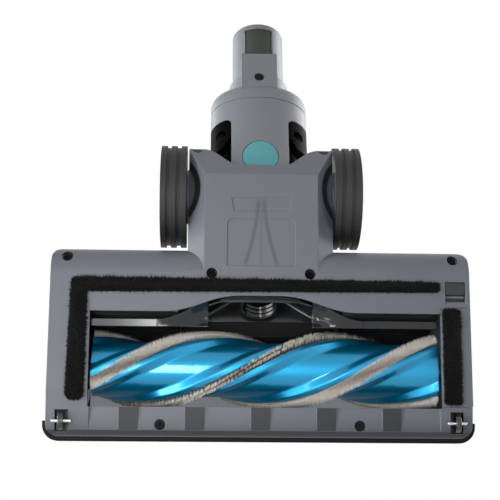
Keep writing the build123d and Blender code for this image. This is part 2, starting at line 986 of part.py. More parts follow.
def core_section():
    """Round valley and raised lands, softened where they meet, with a groove in each land."""
    lobe = 360 / strip_count
    with BuildSketch(roller_plane) as section:
        with BuildLine():
            for index in range(strip_count):
                middle = strip_angle + index * lobe
                land_end = middle + land_half_angle
                valley_start = middle + valley_half_angle
                valley_end = middle + lobe - valley_half_angle
                ThreePointArc(
                    polar(land_radius, middle - land_half_angle),
                    polar(land_radius, middle),
                    polar(land_radius, land_end),
                )
                Line(polar(land_radius, land_end), polar(valley_radius, valley_start))
                ThreePointArc(
                    polar(valley_radius, valley_start),
                    polar(valley_radius, middle + lobe / 2),
                    polar(valley_radius, valley_end),
                )
                Line(
                    polar(valley_radius, valley_end),
                    polar(land_radius, middle + lobe - land_half_angle),
                )
        make_face()
        fillet(section.vertices(), lobe_rounding)
        with PolarLocations(land_radius - strip_root, strip_count, start_angle=strip_angle):
            Rectangle(
                2 * strip_root, strip_width, align=(Align.MIN, Align.CENTER), mode=Mode.SUBTRACT
            )
    return section.sketch.faces()[0]


def strip_section(index):
    """Bristle strip from the floor of its groove to the tips."""
    root = land_radius - strip_root + press_gap
    angle = strip_angle + index * 360 / strip_count
    with BuildSketch(roller_plane) as section:
        with PolarLocations(root, 1, start_angle=angle):
            Rectangle(
                tip_radius, strip_width - 2 * press_gap, align=(Align.MIN, Align.CENTER)
            )
        Circle(tip_radius, mode=Mode.INTERSECT)
    return section.sketch.faces()[0]


with BuildPart() as roller_core:
    add(twisted(core_section()))
    with BuildSketch(across(roller_end)):
        with Locations((roller_y, roller_height)):
            RegularPolygon(drive_hex / 2 + press_gap, 6, major_radius=False)
    extrude(amount=-drive_hex_length - fit_gap, mode=Mode.SUBTRACT)
    add(
        rod(stub_radius, roller_start, roller_start + stub_grip, roller_y, roller_height),
        mode=Mode.SUBTRACT,
    )
keep(roller_core, "roller_core")

for index, node in enumerate(("stiff_bristle_strip", "soft_bristle_strip_a", "soft_bristle_strip_b")):
    with BuildPart() as bristle_strip:
        add(twisted(strip_section(index)))
    keep(bristle_strip, node)

with BuildPart() as roller_stub:
    add(
        rod(
            stub_radius - press_gap,
            bearing_outer + 2 * fit_gap,
            roller_start + stub_grip - fit_gap,
            roller_y,
            roller_height,
        )
    )
keep(roller_stub, "roller_stub")


# Drive: pulley with its hexagon dog, shaft, bush, belt, motor and motor pulley
def pulley(radius, start, y, z, bore):
    """Flat belt pulley between two thin flanges."""
    with BuildPart() as wheel:
        add(rod(radius, start, start + pulley_width, y, z))
        add(rod(radius + flange_height, start, start + flange_width, y, z))
        add(
            rod(
                radius + flange_height,
                start + pulley_width - flange_width,
                start + pulley_width,
                y,
                z,
            )
        )
        add(rod(bore, start, start + pulley_width, y, z), mode=Mode.SUBTRACT)
    return wheel.part


with BuildPart() as drive_pulley:
    add(pulley(drive_pulley_radius, pulley_start, roller_y, roller_height, drive_shaft_radius))
    add(rod(drive_hub_radius, roller_end + fit_gap, pulley_start, roller_y, roller_height))
    with BuildSketch(across(roller_end + fit_gap)):
        with Locations((roller_y, roller_height)):
            RegularPolygon(drive_hex / 2, 6, major_radius=False)
    extrude(amount=-drive_hex_length)
    add(
        rod(drive_shaft_radius, roller_end - drive_hex_length, pulley_start, roller_y, roller_height),
        mode=Mode.SUBTRACT,
    )
keep(drive_pulley, "drive_pulley")

with BuildPart() as drive_shaft:
    add(
        rod(
            drive_shaft_radius - press_gap,
            roller_end - drive_hex_length + fit_gap,
            side_x - shell_wall - fit_gap,
            roller_y,
            roller_height,
        )
    )
keep(drive_shaft, "drive_shaft")

with BuildPart() as drive_bush:
    add(rod(bush_radius, bush_start, side_x - shell_wall, roller_y, roller_height))
    add(
        rod(
            drive_shaft_radius - press_gap + running_gap,
            bush_start,
            side_x - shell_wall,
            roller_y,
            roller_height,
        ),
        mode=Mode.SUBTRACT,
    )
keep(drive_bush, "drive_bush")


def belt_loop(gap):
    """Loop round both pulleys at one distance from their faces."""
    with BuildSketch(across(pulley_start + flange_width + belt_gap)) as loop:
        with BuildLine():
            CenterArc((roller_y, roller_height), drive_pulley_radius + gap, 0, 360)
            CenterArc((motor_y, motor_height), motor_pulley_radius + gap, 0, 360)
        make_hull()
    return loop.sketch


with BuildPart() as drive_belt:
    belt_width = pulley_width - 2 * (flange_width + belt_gap)
    extrude(belt_loop(belt_gap + belt_thickness), amount=belt_width)
    extrude(belt_loop(belt_gap), amount=belt_width, mode=Mode.SUBTRACT)
keep(drive_belt, "drive_belt")

with BuildPart() as motor:
    add(rod(motor_radius, motor_start, motor_end, motor_y, motor_height))
    fillet(motor.edges().filter_by(GeomType.CIRCLE).sort_by(Axis.X)[0], motor_rounding)
    add(rod(motor_nose_radius, motor_end, pulley_start - fit_gap, motor_y, motor_height))
    add(
        rod(
            motor_shaft_radius + running_gap,
            motor_end - motor_radius,
            pulley_start - fit_gap,
            motor_y,
            motor_height,
        ),
        mode=Mode.SUBTRACT,
    )
    # feet that stand on the sole
    motor_bottom = motor_height - motor_radius
    for x in (motor_start + motor_radius, motor_end - motor_radius):
        with Locations((x, motor_y, chamber_floor)):
            foot_height = motor_bottom + motor_rounding - chamber_floor
            Box(motor_radius / 2, motor_radius, foot_height, align=upright)
keep(motor, "motor")

with BuildPart() as motor_shaft:
    add(
        rod(
            motor_shaft_radius,
            motor_end - motor_radius + fit_gap,
            pulley_end,
            motor_y,
            motor_height,
        )
    )
keep(motor_shaft, "motor_shaft")

with BuildPart() as motor_pulley:
    add(pulley(motor_pulley_radius, pulley_start, motor_y, motor_height, motor_shaft_radius + press_gap))
keep(motor_pulley, "motor_pulley")

# End cap with its bearing boss, and the bearing
with BuildPart() as end_cap:
    extrude(cap_outline(0), amount=sole_height + cap_base)
    extrude(cap_side(0), amount=shell_wall)
    add(
        cut_box((-2 * side_x, side_x), (-nozzle_width, nozzle_width), (0, sole_height)),
        mode=Mode.SUBTRACT,
    )
    add(rod(bearing_boss, -side_x, bearing_start, roller_y, roller_height))
    add(
        rod(bearing_radius + press_gap, bearing_outer, bearing_start, roller_y, roller_height),
        mode=Mode.SUBTRACT,
    )
keep(end_cap, "end_cap")

with BuildPart() as roller_bearing:
    add(rod(bearing_radius, bearing_outer, bearing_start, roller_y, roller_height))
    add(
        rod(
            stub_radius - press_gap + running_gap,
            bearing_outer,
            bearing_start,
            roller_y,
            roller_height,
        ),
        mode=Mode.SUBTRACT,
    )
keep(roller_bearing, "roller_bearing")


# Latch slider in its pocket
latch_floor = sole_height + shell_wall + latch_gap / 2
pad_rear = roller_y + latch_rear - latch_gap
pad_front = roller_y + latch_pad_front
with BuildPart() as latch_slider:
    add(
        cut_box(
            (-latch_outer + latch_gap, -latch_inner - latch_gap),
            (pad_front, pad_rear),
            (sole_height + latch_gap, latch_floor + latch_base),
        )
    )
    add(
        cut_box(
            (-latch_outer + latch_gap, -latch_inner + latch_base),
            (pocket_front + latch_gap, pad_rear + latch_travel + latch_base),
            (latch_floor, latch_floor + latch_base),
        )
    )
    # bevel along the pad's front edge, where a finger pushes
    low_edges = latch_slider.edges().filter_by(Axis.X).group_by(Axis.Z)[0]
    chamfer(low_edges.sort_by(Axis.Y)[0], latch_chamfer)
keep(latch_slider, "latch_slider")

# Lint strips under the sole
with BuildPart() as velvet_strip_rear:
    add(
        cut_box(
            (-velvet_rear_cap, velvet_rear_drive),
            (roller_y + velvet_rear_start, roller_y + velvet_rear_end),
            (velvet_clearance, sole_height),
        )
    )
keep(velvet_strip_rear, "velvet_strip_rear")

with BuildPart() as velvet_strip_drive:
    add(
        cut_box(
            (velvet_drive_inner, velvet_drive_inner + velvet_width),
            (roller_y - velvet_side_front, roller_y + velvet_rear_start - fit_gap),
            (velvet_clearance, sole_height),
        )
    )
keep(velvet_strip_drive, "velvet_strip_drive")

with BuildPart() as velvet_strip_cap:
    add(
        cut_box(
            (-velvet_cap_inner - velvet_width, -velvet_cap_inner),
            (roller_y - velvet_side_front, roller_y + cap_rear - fit_gap),
            (velvet_clearance, sole_height),
        )
    )
keep(velvet_strip_cap, "velvet_strip_cap")


# Screws, each a round head with a cross slot and a plain shank
def screw(seat, length):
    """Pan-head screw that stands on its seat, driven from below."""
    with BuildPart() as fastener:
        with Locations((0, 0, seat - screw_head_height)):
            Cylinder(screw_head_radius, screw_head_height, align=upright)
            Box(screw_slot, screw_slot_width, screw_slot_depth, align=upright, mode=Mode.SUBTRACT)
            Box(screw_slot_width, screw_slot, screw_slot_depth, align=upright, mode=Mode.SUBTRACT)
        with Locations((0, 0, seat)):
            Cylinder(screw_radius, length, align=upright)
    return fastener.part


long_screw = screw(screw_seat, screw_top - screw_seat)
short_screw = screw(lip_screw_seat, parting_height - lip_screw_seat - fit_gap)
with BuildPart() as shell_screws:
    with Locations(*rear_screws):
        add(long_screw)
keep(shell_screws, "shell_screws")

with BuildPart() as front_screws:
    with Locations(*lip_screws):
        add(short_screw)
keep(front_screws, "lip_screws")


# Rear wheels
def wheel_plane(side):
    """Half plane through the axle, drawn as distance outwards and radius."""
    return Plane(
        origin=(0, axle_y, axle_height), x_dir=(side, 0, 0), z_dir=(0, -side, 0)
    )


axle_axis = Axis((0, axle_y, axle_height), (1, 0, 0))
hub_cap_radius = rim_radius - hub_web - press_gap
dome_radius = (hub_cap_radius**2 + hub_cap_bulge**2) / (2 * hub_cap_bulge)
for side, word in ((1, "drive"), (-1, "cap")):
    with BuildPart() as tyre:
        with BuildSketch(wheel_plane(side)):
            with Locations((wheel_inner, rim_radius)):
                Rectangle(wheel_outer - wheel_inner, tyre_radius - rim_radius, align=(Align.MIN, Align.MIN))
            for index in range(2):
                groove = wheel_inner + (index + 1) * tyre_rib + index * tyre_groove
                with Locations((groove, tyre_radius)):
                    Rectangle(
                        tyre_groove,
                        tyre_groove_depth,
                        align=(Align.MIN, Align.MAX),
                        mode=Mode.SUBTRACT,
                    )
        revolve(axis=axle_axis)
    keep(tyre, f"tyre_{word}_side")

    with BuildPart() as hub:
        bore = axle_radius + running_gap
        with BuildSketch(wheel_plane(side)):
            with BuildLine():
                Polyline(
                    (hub_boss_inner, bore),
                    (axle_outer - hub_web / 2, bore),
                    (axle_outer - hub_web / 2, bore + hub_web),
                    (wheel_inner + hub_web, bore + hub_web),
                    (wheel_inner + hub_web, rim_radius - hub_web),
                    (wheel_outer, rim_radius - hub_web),
                    (wheel_outer, rim_radius - press_gap),
                    (wheel_inner, rim_radius - press_gap),
                    (wheel_inner, hub_boss_radius),
                    (hub_boss_inner, hub_boss_radius),
                    close=True,
                )
            make_face()
        revolve(axis=axle_axis)
    keep(hub, f"wheel_hub_{word}_side")

    with BuildPart() as hub_cap:
        with Locations((side * (wheel_outer + hub_cap_bulge - dome_radius), axle_y, axle_height)):
            Sphere(dome_radius)
            Sphere(dome_radius - hub_cap_wall, mode=Mode.SUBTRACT)
        add(
            rod(hub_cap_radius, side * axle_outer, side * side_x, axle_y, axle_height),
            mode=Mode.INTERSECT,
        )
    keep(hub_cap, f"hub_cap_{word}_side")

    with BuildPart() as rear_axle:
        add(rod(axle_radius, side * axle_inner, side * axle_outer, axle_y, axle_height))
    keep(rear_axle, f"rear_axle_{word}_side")

    # small front wheel on its own pin
    wheel_x = side * front_wheel_side
    wheel_y = roller_y + front_wheel_back
    with BuildPart() as front_wheel:
        half = front_wheel_width / 2
        add(rod(front_wheel_radius, wheel_x - half, wheel_x + half, wheel_y, front_wheel_radius))
        fillet(front_wheel.edges().filter_by(GeomType.CIRCLE), front_wheel_width / 5)
        add(
            rod(
                front_axle_radius + running_gap,
                wheel_x - half,
                wheel_x + half,
                wheel_y,
                front_wheel_radius,
            ),
            mode=Mode.SUBTRACT,
        )
    keep(front_wheel, f"front_wheel_{word}_side")

    with BuildPart() as front_axle:
        half = front_axle_length / 2
        add(rod(front_axle_radius, wheel_x - half, wheel_x + half, wheel_y, front_wheel_radius))
    keep(front_axle, f"front_axle_{word}_side")


# Neck: trunnion that pitches on the axles, yoke that turns on the trunnion
yaw_plane = Plane(
    origin=neck_plane.origin,
    x_dir=(1, 0, 0),
    z_dir=(0, -sin(radians(neck_tilt)), cos(radians(neck_tilt))),
)
tongue_start = yaw_at - tongue_half

with BuildPart() as trunnion:
    with BuildSketch(neck_plane.offset(trunnion_start)):
        RectangleRounded(2 * trunnion_half_width, 2 * trunnion_half_depth, trunnion_corner)
    extrude(amount=yaw_at - trunnion_start)
    # front half turned about the swivel axis
    with BuildSketch(neck_plane.offset(yaw_at)):
        RectangleRounded(2 * trunnion_half_width, 2 * trunnion_half_depth, trunnion_corner)
        Rectangle(
            trunnion_half_width,
            2 * trunnion_half_depth,
            align=(Align.MIN, Align.CENTER),
            mode=Mode.INTERSECT,
        )
    revolve(axis=Axis(neck_plane.offset(yaw_at).origin, yaw_plane.z_dir), revolution_arc=180)
    add(rod(trunnion_boss, -well_half + fit_gap * 2, well_half - fit_gap * 2, axle_y, axle_height))
    with BuildSketch(neck_plane.offset(trunnion_start - trunnion_boss)):
        Circle(trunnion_bore)
    extrude(amount=2 * yoke_end, mode=Mode.SUBTRACT)
    for side in (1, -1):
        add(
            rod(
                axle_radius + running_gap,
                side * (axle_inner - fit_gap),
                side * well_half,
                axle_y,
                axle_height,
            ),
            mode=Mode.SUBTRACT,
        )
    with BuildSketch(yaw_plane):
        with Locations((0, yaw_at)):
            Circle(pivot_radius + running_gap)
    extrude(amount=yoke_half_depth, both=True, mode=Mode.SUBTRACT)
keep(trunnion, "trunnion")



def neck_prism(start, end, inset):
    """Oval prism along the neck between two places, inset from the yoke's outside."""
    with BuildPart() as prism:
        with BuildSketch(neck_plane.offset(start)):
            Ellipse(yoke_half_width - inset, yoke_half_depth - inset)
        extrude(amount=end - start)
    return prism.part


boss_screws = [(side * boss_screw_side, boss_screw_at) for side in (1, -1)]
boss_screw_start = screw_head_height - boss_screw_level
slot_end = yaw_at + trunnion_half_width + core_gap
with BuildPart() as yoke:
    add(neck_prism(tongue_start, yoke_end, 0))
    # oval body, with a round tongue above and below that reaches the swivel axis
    with BuildSketch(yaw_plane):
        with Locations((0, yaw_at)):
            Circle(tongue_half)
            Rectangle(2 * tongue_half, yoke_end - yaw_at, align=(Align.CENTER, Align.MIN))
        with Locations((0, yoke_start)):
            Rectangle(2 * yoke_half_width, yoke_end - yoke_start, align=(Align.CENTER, Align.MIN))
        for side in (1, -1):
            with Locations((side * tongue_half, yoke_start)):
                Rectangle(2 * arch_round, 2 * arch_round)
            with Locations((side * (tongue_half + arch_round), yoke_start - arch_round)):
                Circle(arch_round, mode=Mode.SUBTRACT)
    extrude(amount=2 * yoke_half_depth, both=True, mode=Mode.INTERSECT)
    # slot between the tongues and the room above it
    with BuildSketch(neck_plane.offset(tongue_start)):
        Rectangle(2 * yoke_half_width, 2 * tongue_slot)
    extrude(amount=slot_end - tongue_start, mode=Mode.SUBTRACT)
    add(neck_prism(slot_end, yoke_end - yoke_wall, yoke_wall), mode=Mode.SUBTRACT)
    # passage into the tube
    with BuildSketch(neck_plane.offset(yoke_end - 2 * yoke_wall)):
        Circle(tube_radius - tube_wall)
    extrude(amount=3 * yoke_wall, mode=Mode.SUBTRACT)
    # pivot holes and the seats of their caps
    with BuildSketch(yaw_plane):
        with Locations((0, yaw_at)):
            Circle(pivot_radius + press_gap)
    extrude(amount=2 * yoke_half_depth, both=True, mode=Mode.SUBTRACT)
    for side in (1, -1):
        with BuildSketch(yaw_plane.offset(side * (yoke_half_depth - pivot_cap_depth))):
            with Locations((0, yaw_at)):
                Circle(pivot_cap_radius + pivot_cap_gap)
        extrude(amount=side * yoke_wall, mode=Mode.SUBTRACT)
keep(yoke, "yoke")

# Dark core of the yoke: ears beside the tongues, and a sleeve inside the oval body
with BuildPart() as yoke_core:
    with BuildSketch(yaw_plane):
        for side, inner_edge in ((1, Align.MIN), (-1, Align.MAX)):
            with Locations((side * (tongue_half + fit_gap), yoke_start - fit_gap)):
                Rectangle(yoke_half_width, yoke_start - core_start, align=(inner_edge, Align.MAX))
                Rectangle(arch_round, arch_round, align=(inner_edge, Align.MAX), mode=Mode.SUBTRACT)
            round_x = side * (tongue_half + fit_gap + arch_round)
            with Locations((round_x, yoke_start - fit_gap - arch_round)):
                Circle(arch_round)
        with Locations((0, yaw_at)):
            Circle(trunnion_half_width + core_gap, mode=Mode.SUBTRACT)
    extrude(amount=2 * yoke_half_depth, both=True)
    add(neck_prism(core_start - fit_gap, yoke_start, 0), mode=Mode.INTERSECT)
    add(neck_prism(slot_end + fit_gap, yoke_end - yoke_wall - fit_gap, yoke_wall + fit_gap))
    with BuildSketch(neck_plane):
        Circle(core_bore)
    extrude(amount=yoke_end, mode=Mode.SUBTRACT)
    with BuildSketch(yaw_plane.offset(-boss_screw_level)):
        with Locations(*boss_screws):
            Circle(screw_hole_radius)
    extrude(amount=-yoke_half_depth, mode=Mode.SUBTRACT)
    with BuildSketch(yaw_plane.offset(-boss_screw_level)):
        with Locations(*boss_screws):
            Circle(screw_head_radius + press_gap)
    extrude(amount=screw_head_height, mode=Mode.SUBTRACT)
    with BuildSketch(yaw_plane.offset(boss_screw_start)):
        with Locations(*boss_screws):
            Circle(screw_radius + press_gap)
    extrude(amount=boss_screw_depth + fit_gap, mode=Mode.SUBTRACT)
keep(yoke_core, "yoke_core")

for side, word in ((1, "upper"), (-1, "lower")):
    with BuildPart() as pivot_cap:
        with BuildSketch(yaw_plane.offset(side * (yoke_half_depth - pivot_cap_depth))):
            with Locations((0, yaw_at)):
                Circle(pivot_cap_radius)
        extrude(amount=side * pivot_cap_depth)
        add(neck_prism(tongue_start, yoke_end, 0), mode=Mode.INTERSECT)
    keep(pivot_cap, f"pivot_cap_{word}")

    with BuildPart() as pivot_pin:
        with BuildSketch(yaw_plane.offset(side * (trunnion_bore + fit_gap))):
            with Locations((0, yaw_at)):
                Circle(pivot_radius)
        extrude(amount=side * (yoke_half_depth - pivot_cap_depth - trunnion_bore - 2 * fit_gap))
    keep(pivot_pin, f"pivot_pin_{word}")

with BuildPart() as yoke_screws:
    with BuildSketch(yaw_plane.offset(-boss_screw_level)):
        with Locations(*boss_screws):
            Circle(screw_head_radius)
    extrude(amount=screw_head_height)
    with BuildSketch(yaw_plane.offset(boss_screw_start)):
        with Locations(*boss_screws):
            Circle(screw_radius)
    extrude(amount=boss_screw_depth)
keep(yoke_screws, "yoke_screws")

# Collar with a round shoulder between the oval yoke and the round tube
with BuildPart() as neck_collar:
    add(neck_prism(yoke_end + seam_groove, collar_end, 0))
    collar_edges = neck_collar.edges().sort_by(Axis(neck_plane.origin, neck_plane.z_dir))
    fillet(collar_edges[-1], collar_round)
    add(neck_prism(yoke_end, yoke_end + seam_groove, seam_groove))
    with BuildSketch(neck_plane.offset(yoke_end)):
        Circle(base_radius + press_gap)
    extrude(amount=collar_end, mode=Mode.SUBTRACT)
keep(neck_collar, "neck_collar")

# Connector tube with its stepped base, flat pad and catch window
with BuildPart() as connector_tube:
    with BuildSketch(neck_plane.offset(yoke_end)):
        Circle(base_radius)
    extrude(amount=base_end - yoke_end)
    with BuildSketch(neck_plane.offset(base_end)):
        Circle(tube_radius)
    extrude(amount=tube_end - base_end)
    with BuildSketch(neck_plane.offset(collar_end + fit_gap)):
        Rectangle(2 * pad_half, pad_level, align=(Align.CENTER, Align.MIN))
    extrude(amount=pad_end - collar_end - fit_gap)
    with BuildSketch(neck_plane.offset(yoke_end)):
        Circle(tube_radius - tube_wall)
    extrude(amount=tube_end, mode=Mode.SUBTRACT)
    with BuildSketch(neck_plane.offset(pocket_start)):
        Rectangle(2 * pocket_half, base_radius, align=(Align.CENTER, Align.MIN))
    extrude(amount=pocket_end - pocket_start, mode=Mode.SUBTRACT)
    with BuildSketch(yaw_plane.offset(-tube_screw_seat)):
        with Locations((0, tube_screw_at)):
            Circle(screw_hole_radius)
    extrude(amount=-base_radius, mode=Mode.SUBTRACT)
    with BuildSketch(yaw_plane.offset(-tube_screw_seat)):
        with Locations((0, tube_screw_at)):
            Circle(screw_radius + press_gap)
    extrude(amount=tube_wall, mode=Mode.SUBTRACT)
keep(connector_tube, "connector_tube")

with BuildPart() as catch_plate:
    with BuildSketch(neck_plane.offset(pocket_start + fit_gap)):
        Circle(tube_radius - pocket_depth / 2)
        Circle(tube_radius - tube_wall, mode=Mode.SUBTRACT)
        Rectangle(
            2 * (pocket_half - fit_gap), base_radius, align=(Align.CENTER, Align.MIN), mode=Mode.INTERSECT
        )
    extrude(amount=pocket_end - pocket_start - 2 * fit_gap)
keep(catch_plate, "catch_plate")

with BuildPart() as tube_screw:
    with BuildSketch(yaw_plane.offset(-tube_screw_seat)):
        with Locations((0, tube_screw_at)):
            Circle(screw_head_radius)
    extrude(amount=-screw_head_height)
    with BuildSketch(yaw_plane.offset(-tube_screw_seat)):
        with Locations((0, tube_screw_at)):
            Circle(screw_radius)
    extrude(amount=tube_wall - fit_gap)
keep(tube_screw, "tube_screw")
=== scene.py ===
"""Floor brush head of a stick vacuum: bristles, lint pile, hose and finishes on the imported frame."""

import json
import math
from functools import partial

import bpy
import numpy as np
from bpy.props import FloatProperty, FloatVectorProperty, IntProperty, PointerProperty
from mathutils import Matrix, Vector


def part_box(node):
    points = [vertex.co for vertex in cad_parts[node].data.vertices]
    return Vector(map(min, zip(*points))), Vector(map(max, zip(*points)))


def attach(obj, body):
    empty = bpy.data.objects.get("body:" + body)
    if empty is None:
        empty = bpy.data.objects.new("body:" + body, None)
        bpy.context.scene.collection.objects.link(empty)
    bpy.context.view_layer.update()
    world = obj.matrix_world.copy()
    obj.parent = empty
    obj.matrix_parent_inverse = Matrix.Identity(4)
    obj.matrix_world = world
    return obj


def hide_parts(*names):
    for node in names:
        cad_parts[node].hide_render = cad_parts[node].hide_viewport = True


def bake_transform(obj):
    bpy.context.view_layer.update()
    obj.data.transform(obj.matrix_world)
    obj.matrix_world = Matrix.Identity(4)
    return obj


bl_info = {
    "name": "Floor brush head",
    "version": (1, 0, 0),
    "blender": (4, 5, 0),
    "location": "3D View > Sidebar > Floor head",
    "description": "Bristles, lint pile, hose and finishes of a vacuum floor brush head",
    "category": "Object",
}

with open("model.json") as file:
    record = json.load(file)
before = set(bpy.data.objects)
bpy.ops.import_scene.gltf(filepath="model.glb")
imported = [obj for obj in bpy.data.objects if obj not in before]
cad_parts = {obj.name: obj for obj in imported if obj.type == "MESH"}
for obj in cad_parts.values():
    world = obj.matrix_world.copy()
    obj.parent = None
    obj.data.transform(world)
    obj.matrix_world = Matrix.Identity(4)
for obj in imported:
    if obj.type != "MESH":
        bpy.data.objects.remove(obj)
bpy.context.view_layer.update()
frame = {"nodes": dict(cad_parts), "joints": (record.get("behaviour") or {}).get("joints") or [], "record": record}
NODES = frame["nodes"]
JOINTS = {joint["name"]: joint for joint in frame["joints"]}
SLOT_OF = {row["node"]: row["material_slot"] for row in frame["record"]["subparts"]}

# Places read from the frame, in metres
ROLLER_AXIS = np.array(JOINTS["roller_spin"]["pos_m"])
PITCH_AXIS = np.array(JOINTS["neck_pitch"]["pos_m"])
YAW_AXIS = np.array(JOINTS["neck_yaw"]["axis"])
NECK_TILT = math.asin(-YAW_AXIS[1])
NECK_WAY = np.array([0, math.cos(NECK_TILT), math.sin(NECK_TILT)])
AXLE = np.array(JOINTS["rear_wheel_drive_side"]["pos_m"])

# Sizes of the bristle strips, from the roller's axis, and of the hose
HELIX_LEAD = 0.225
STIFF_CROSSING = 0.0075
STRIP_HALF = 0.0027
GROOVE_FLOOR = 0.0163
LAND_RADIUS = 0.0195
TIP_RADIUS = 0.024
HAIR_ROOT = LAND_RADIUS - 0.001
HOSE_LEVEL = 0.028
HOSE_BEND = 0.060
HOSE_TANGENT = HOSE_BEND * math.tan(NECK_TILT / 2)
HOSE_CORNER = PITCH_AXIS[1] - (PITCH_AXIS[2] - HOSE_LEVEL) / math.tan(NECK_TILT)
HOSE_END = PITCH_AXIS + 0.040 * NECK_WAY

# Surface of the shells and the latch
SATIN = {"Drift": 0.1, "Edge": 0.8, "Rough": 0.4, "Grain Scale": 2600.0, "Grain Depth": 0.12}


def linear(red, green, blue):
    """Screen colour, 0 to 255, as a linear colour with alpha."""
    values = np.array([red, green, blue]) / 255
    low = values / 12.92
    high = ((values + 0.055) / 1.055) ** 2.4
    return (*np.where(values <= 0.04045, low, high).tolist(), 1.0)


def colour_property(name, description, colour):
    """Colour setting with alpha."""
    return FloatVectorProperty(
        name=name, description=description, subtype="COLOR", size=4, min=0, max=1, default=colour
    )


def count_property(name, description, count, low, high):
    """Whole number setting."""
    return IntProperty(name=name, description=description, default=count, min=low, max=high)


def length_property(name, description, length, low=0.00002, high=0.001):
    """Length setting, in metres."""
    return FloatProperty(
        name=name, description=description, default=length, min=low, max=high, precision=5, unit="LENGTH"
    )


class FloorHeadBristles(bpy.types.PropertyGroup):
    """Hair counts and sizes of the roller's strips and the lint strips."""

    soft_count: count_property("Soft hairs", "Hairs in each soft strip", 17000, 1000, 19000)
    soft_radius: length_property("Soft hair radius", "Radius of a soft hair at its root", 0.00013)
    tuft_pitch: length_property(
        "Tuft pitch", "Distance between the stiff tufts along the roller's axis", 0.0021, 0.001, 0.01
    )
    tuft_hairs: count_property("Tuft hairs", "Hairs in one stiff tuft", 64, 8, 90)
    stiff_radius: length_property("Stiff hair radius", "Radius of a stiff hair at its root", 0.00015)
    pile_density: FloatProperty(
        name="Pile density",
        description="Pile hairs to a square millimetre of lint strip",
        default=19.0,
        min=1,
        max=22,
    )
    pile_radius: length_property("Pile radius", "Radius of a pile hair at its root", 0.00018)


class FloorHeadColours(bpy.types.PropertyGroup):
    """Colours that a user would change."""

    shell: colour_property("Shell", "Satin grey of both shells and the end cap", linear(97, 100, 107))
    neck: colour_property("Neck", "Matte grey of the neck", linear(103, 106, 111))
    roller: colour_property("Roller", "Metallic blue of the roller", linear(6, 134, 178))
    soft: colour_property("Soft bristles", "Beige of the soft strips", linear(238, 231, 221))
    stiff: colour_property("Stiff bristles", "Grey beige of the stiff tufts", linear(222, 216, 204))
    teal: colour_property("Pivot", "Teal of the pivot caps", linear(74, 138, 143))
    pile: colour_property("Lint pile", "Black of the lint strips", linear(11, 11, 12))


# Meshes


def mesh_object(name, arrays, *attributes, smooth=True):
    """Object at the origin from mesh arrays, of which the named ones become point attributes."""
    points, corners, counts = arrays["points"], arrays["corners"], arrays["counts"]
    mesh = bpy.data.meshes.new(name)
    mesh.vertices.add(len(points))
    mesh.vertices.foreach_set("co", np.ascontiguousarray(points, dtype=np.float32).ravel())
    mesh.loops.add(len(corners))
    mesh.loops.foreach_set("vertex_index", np.ascontiguousarray(corners, dtype=np.int32))
    starts = np.concatenate(([0], np.cumsum(counts)[:-1])).astype(np.int32)
    mesh.polygons.add(len(counts))
    mesh.polygons.foreach_set("loop_start", starts)
    mesh.polygons.foreach_set("use_smooth", np.full(len(counts), smooth))
    for key in attributes:
        layer = mesh.attributes.new(key, "FLOAT", "POINT")
        layer.data.foreach_set("value", np.ascontiguousarray(arrays[key], dtype=np.float32))
    mesh.update(calc_edges=True)
    mesh.validate()
    piece = bpy.data.objects.new(name, mesh)
    bpy.context.scene.collection.objects.link(piece)
    return piece


def joined(*parts):
    """One set of mesh arrays from several, with the corner numbers moved on."""
    firsts = np.cumsum([0] + [len(part["points"]) for part in parts[:-1]])
    moved = [{**part, "corners": part["corners"] + first} for part, first in zip(parts, firsts)]
    return {key: np.concatenate([part[key] for part in moved]) for key in parts[0]}


def repeated(points, pattern, sides, tint, along):
    """Mesh arrays of many like hairs: points is hairs by corners by 3.

    The pattern numbers one hair's face corners, and sides counts the corners of its faces.
    """
    count, width = points.shape[:2]
    return {
        "points": points.reshape(-1, 3),
        "corners": (np.array(pattern)[None, :] + width * np.arange(count)[:, None]).ravel(),
        "counts": np.tile(sides, count),
        "tint": np.repeat(tint, width),
        "along": np.tile(along, count),
    }


def hairs(roots, tips, sway, radius, taper, tint):
    """Three-sided hairs as mesh arrays.

    A hair's middle line is root + t (tip - root) + 4 t (1 - t) sway. Its corners stand round that line,
    a third of a turn apart, at the radius times (1 - t) to the power of the taper.
    """
    line = tips - roots
    line = line / np.linalg.norm(line, axis=1, keepdims=True)
    helper = np.where(np.abs(line[:, :1]) > 0.8, [[0.0, 1.0, 0.0]], [[1.0, 0.0, 0.0]])
    across = np.cross(line, helper)
    across = across / np.linalg.norm(across, axis=1, keepdims=True)
    beside = np.cross(line, across)
    turn = np.arange(3) * 2 * np.pi / 3
    ring = across[:, None] * np.cos(turn)[None, :, None] + beside[:, None] * np.sin(turn)[None, :, None]
    middle = (roots + tips) / 2 + sway
    points = np.empty((len(roots), 7, 3))
    points[:, 0:3] = roots[:, None] + ring * radius
    points[:, 3:6] = middle[:, None] + ring * radius * 0.5**taper
    points[:, 6] = tips
    pattern = [0, 1, 4, 3, 1, 2, 5, 4, 2, 0, 3, 5, 3, 4, 6, 4, 5, 6, 5, 3, 6, 2, 1, 0]
    return repeated(points, pattern, [4, 4, 4, 3, 3, 3, 3], tint, [0, 0, 0, 0.5, 0.5, 0.5, 1.0])


def spikes(roots, tips, radius, tint):
    """Short three-sided hairs as mesh arrays: three corners round the root and one at the tip."""
    turn = np.arange(3) * 2 * np.pi / 3
    ring = np.stack([np.cos(turn), -np.sin(turn), np.zeros(3)], axis=-1) * radius
    points = np.empty((len(roots), 4, 3))
    points[:, 0:3] = roots[:, None] + ring
    points[:, 3] = tips
    return repeated(points, [0, 1, 3, 1, 2, 3, 2, 0, 3, 2, 1, 0], [3, 3, 3, 3], tint, [0, 0, 0, 1.0])


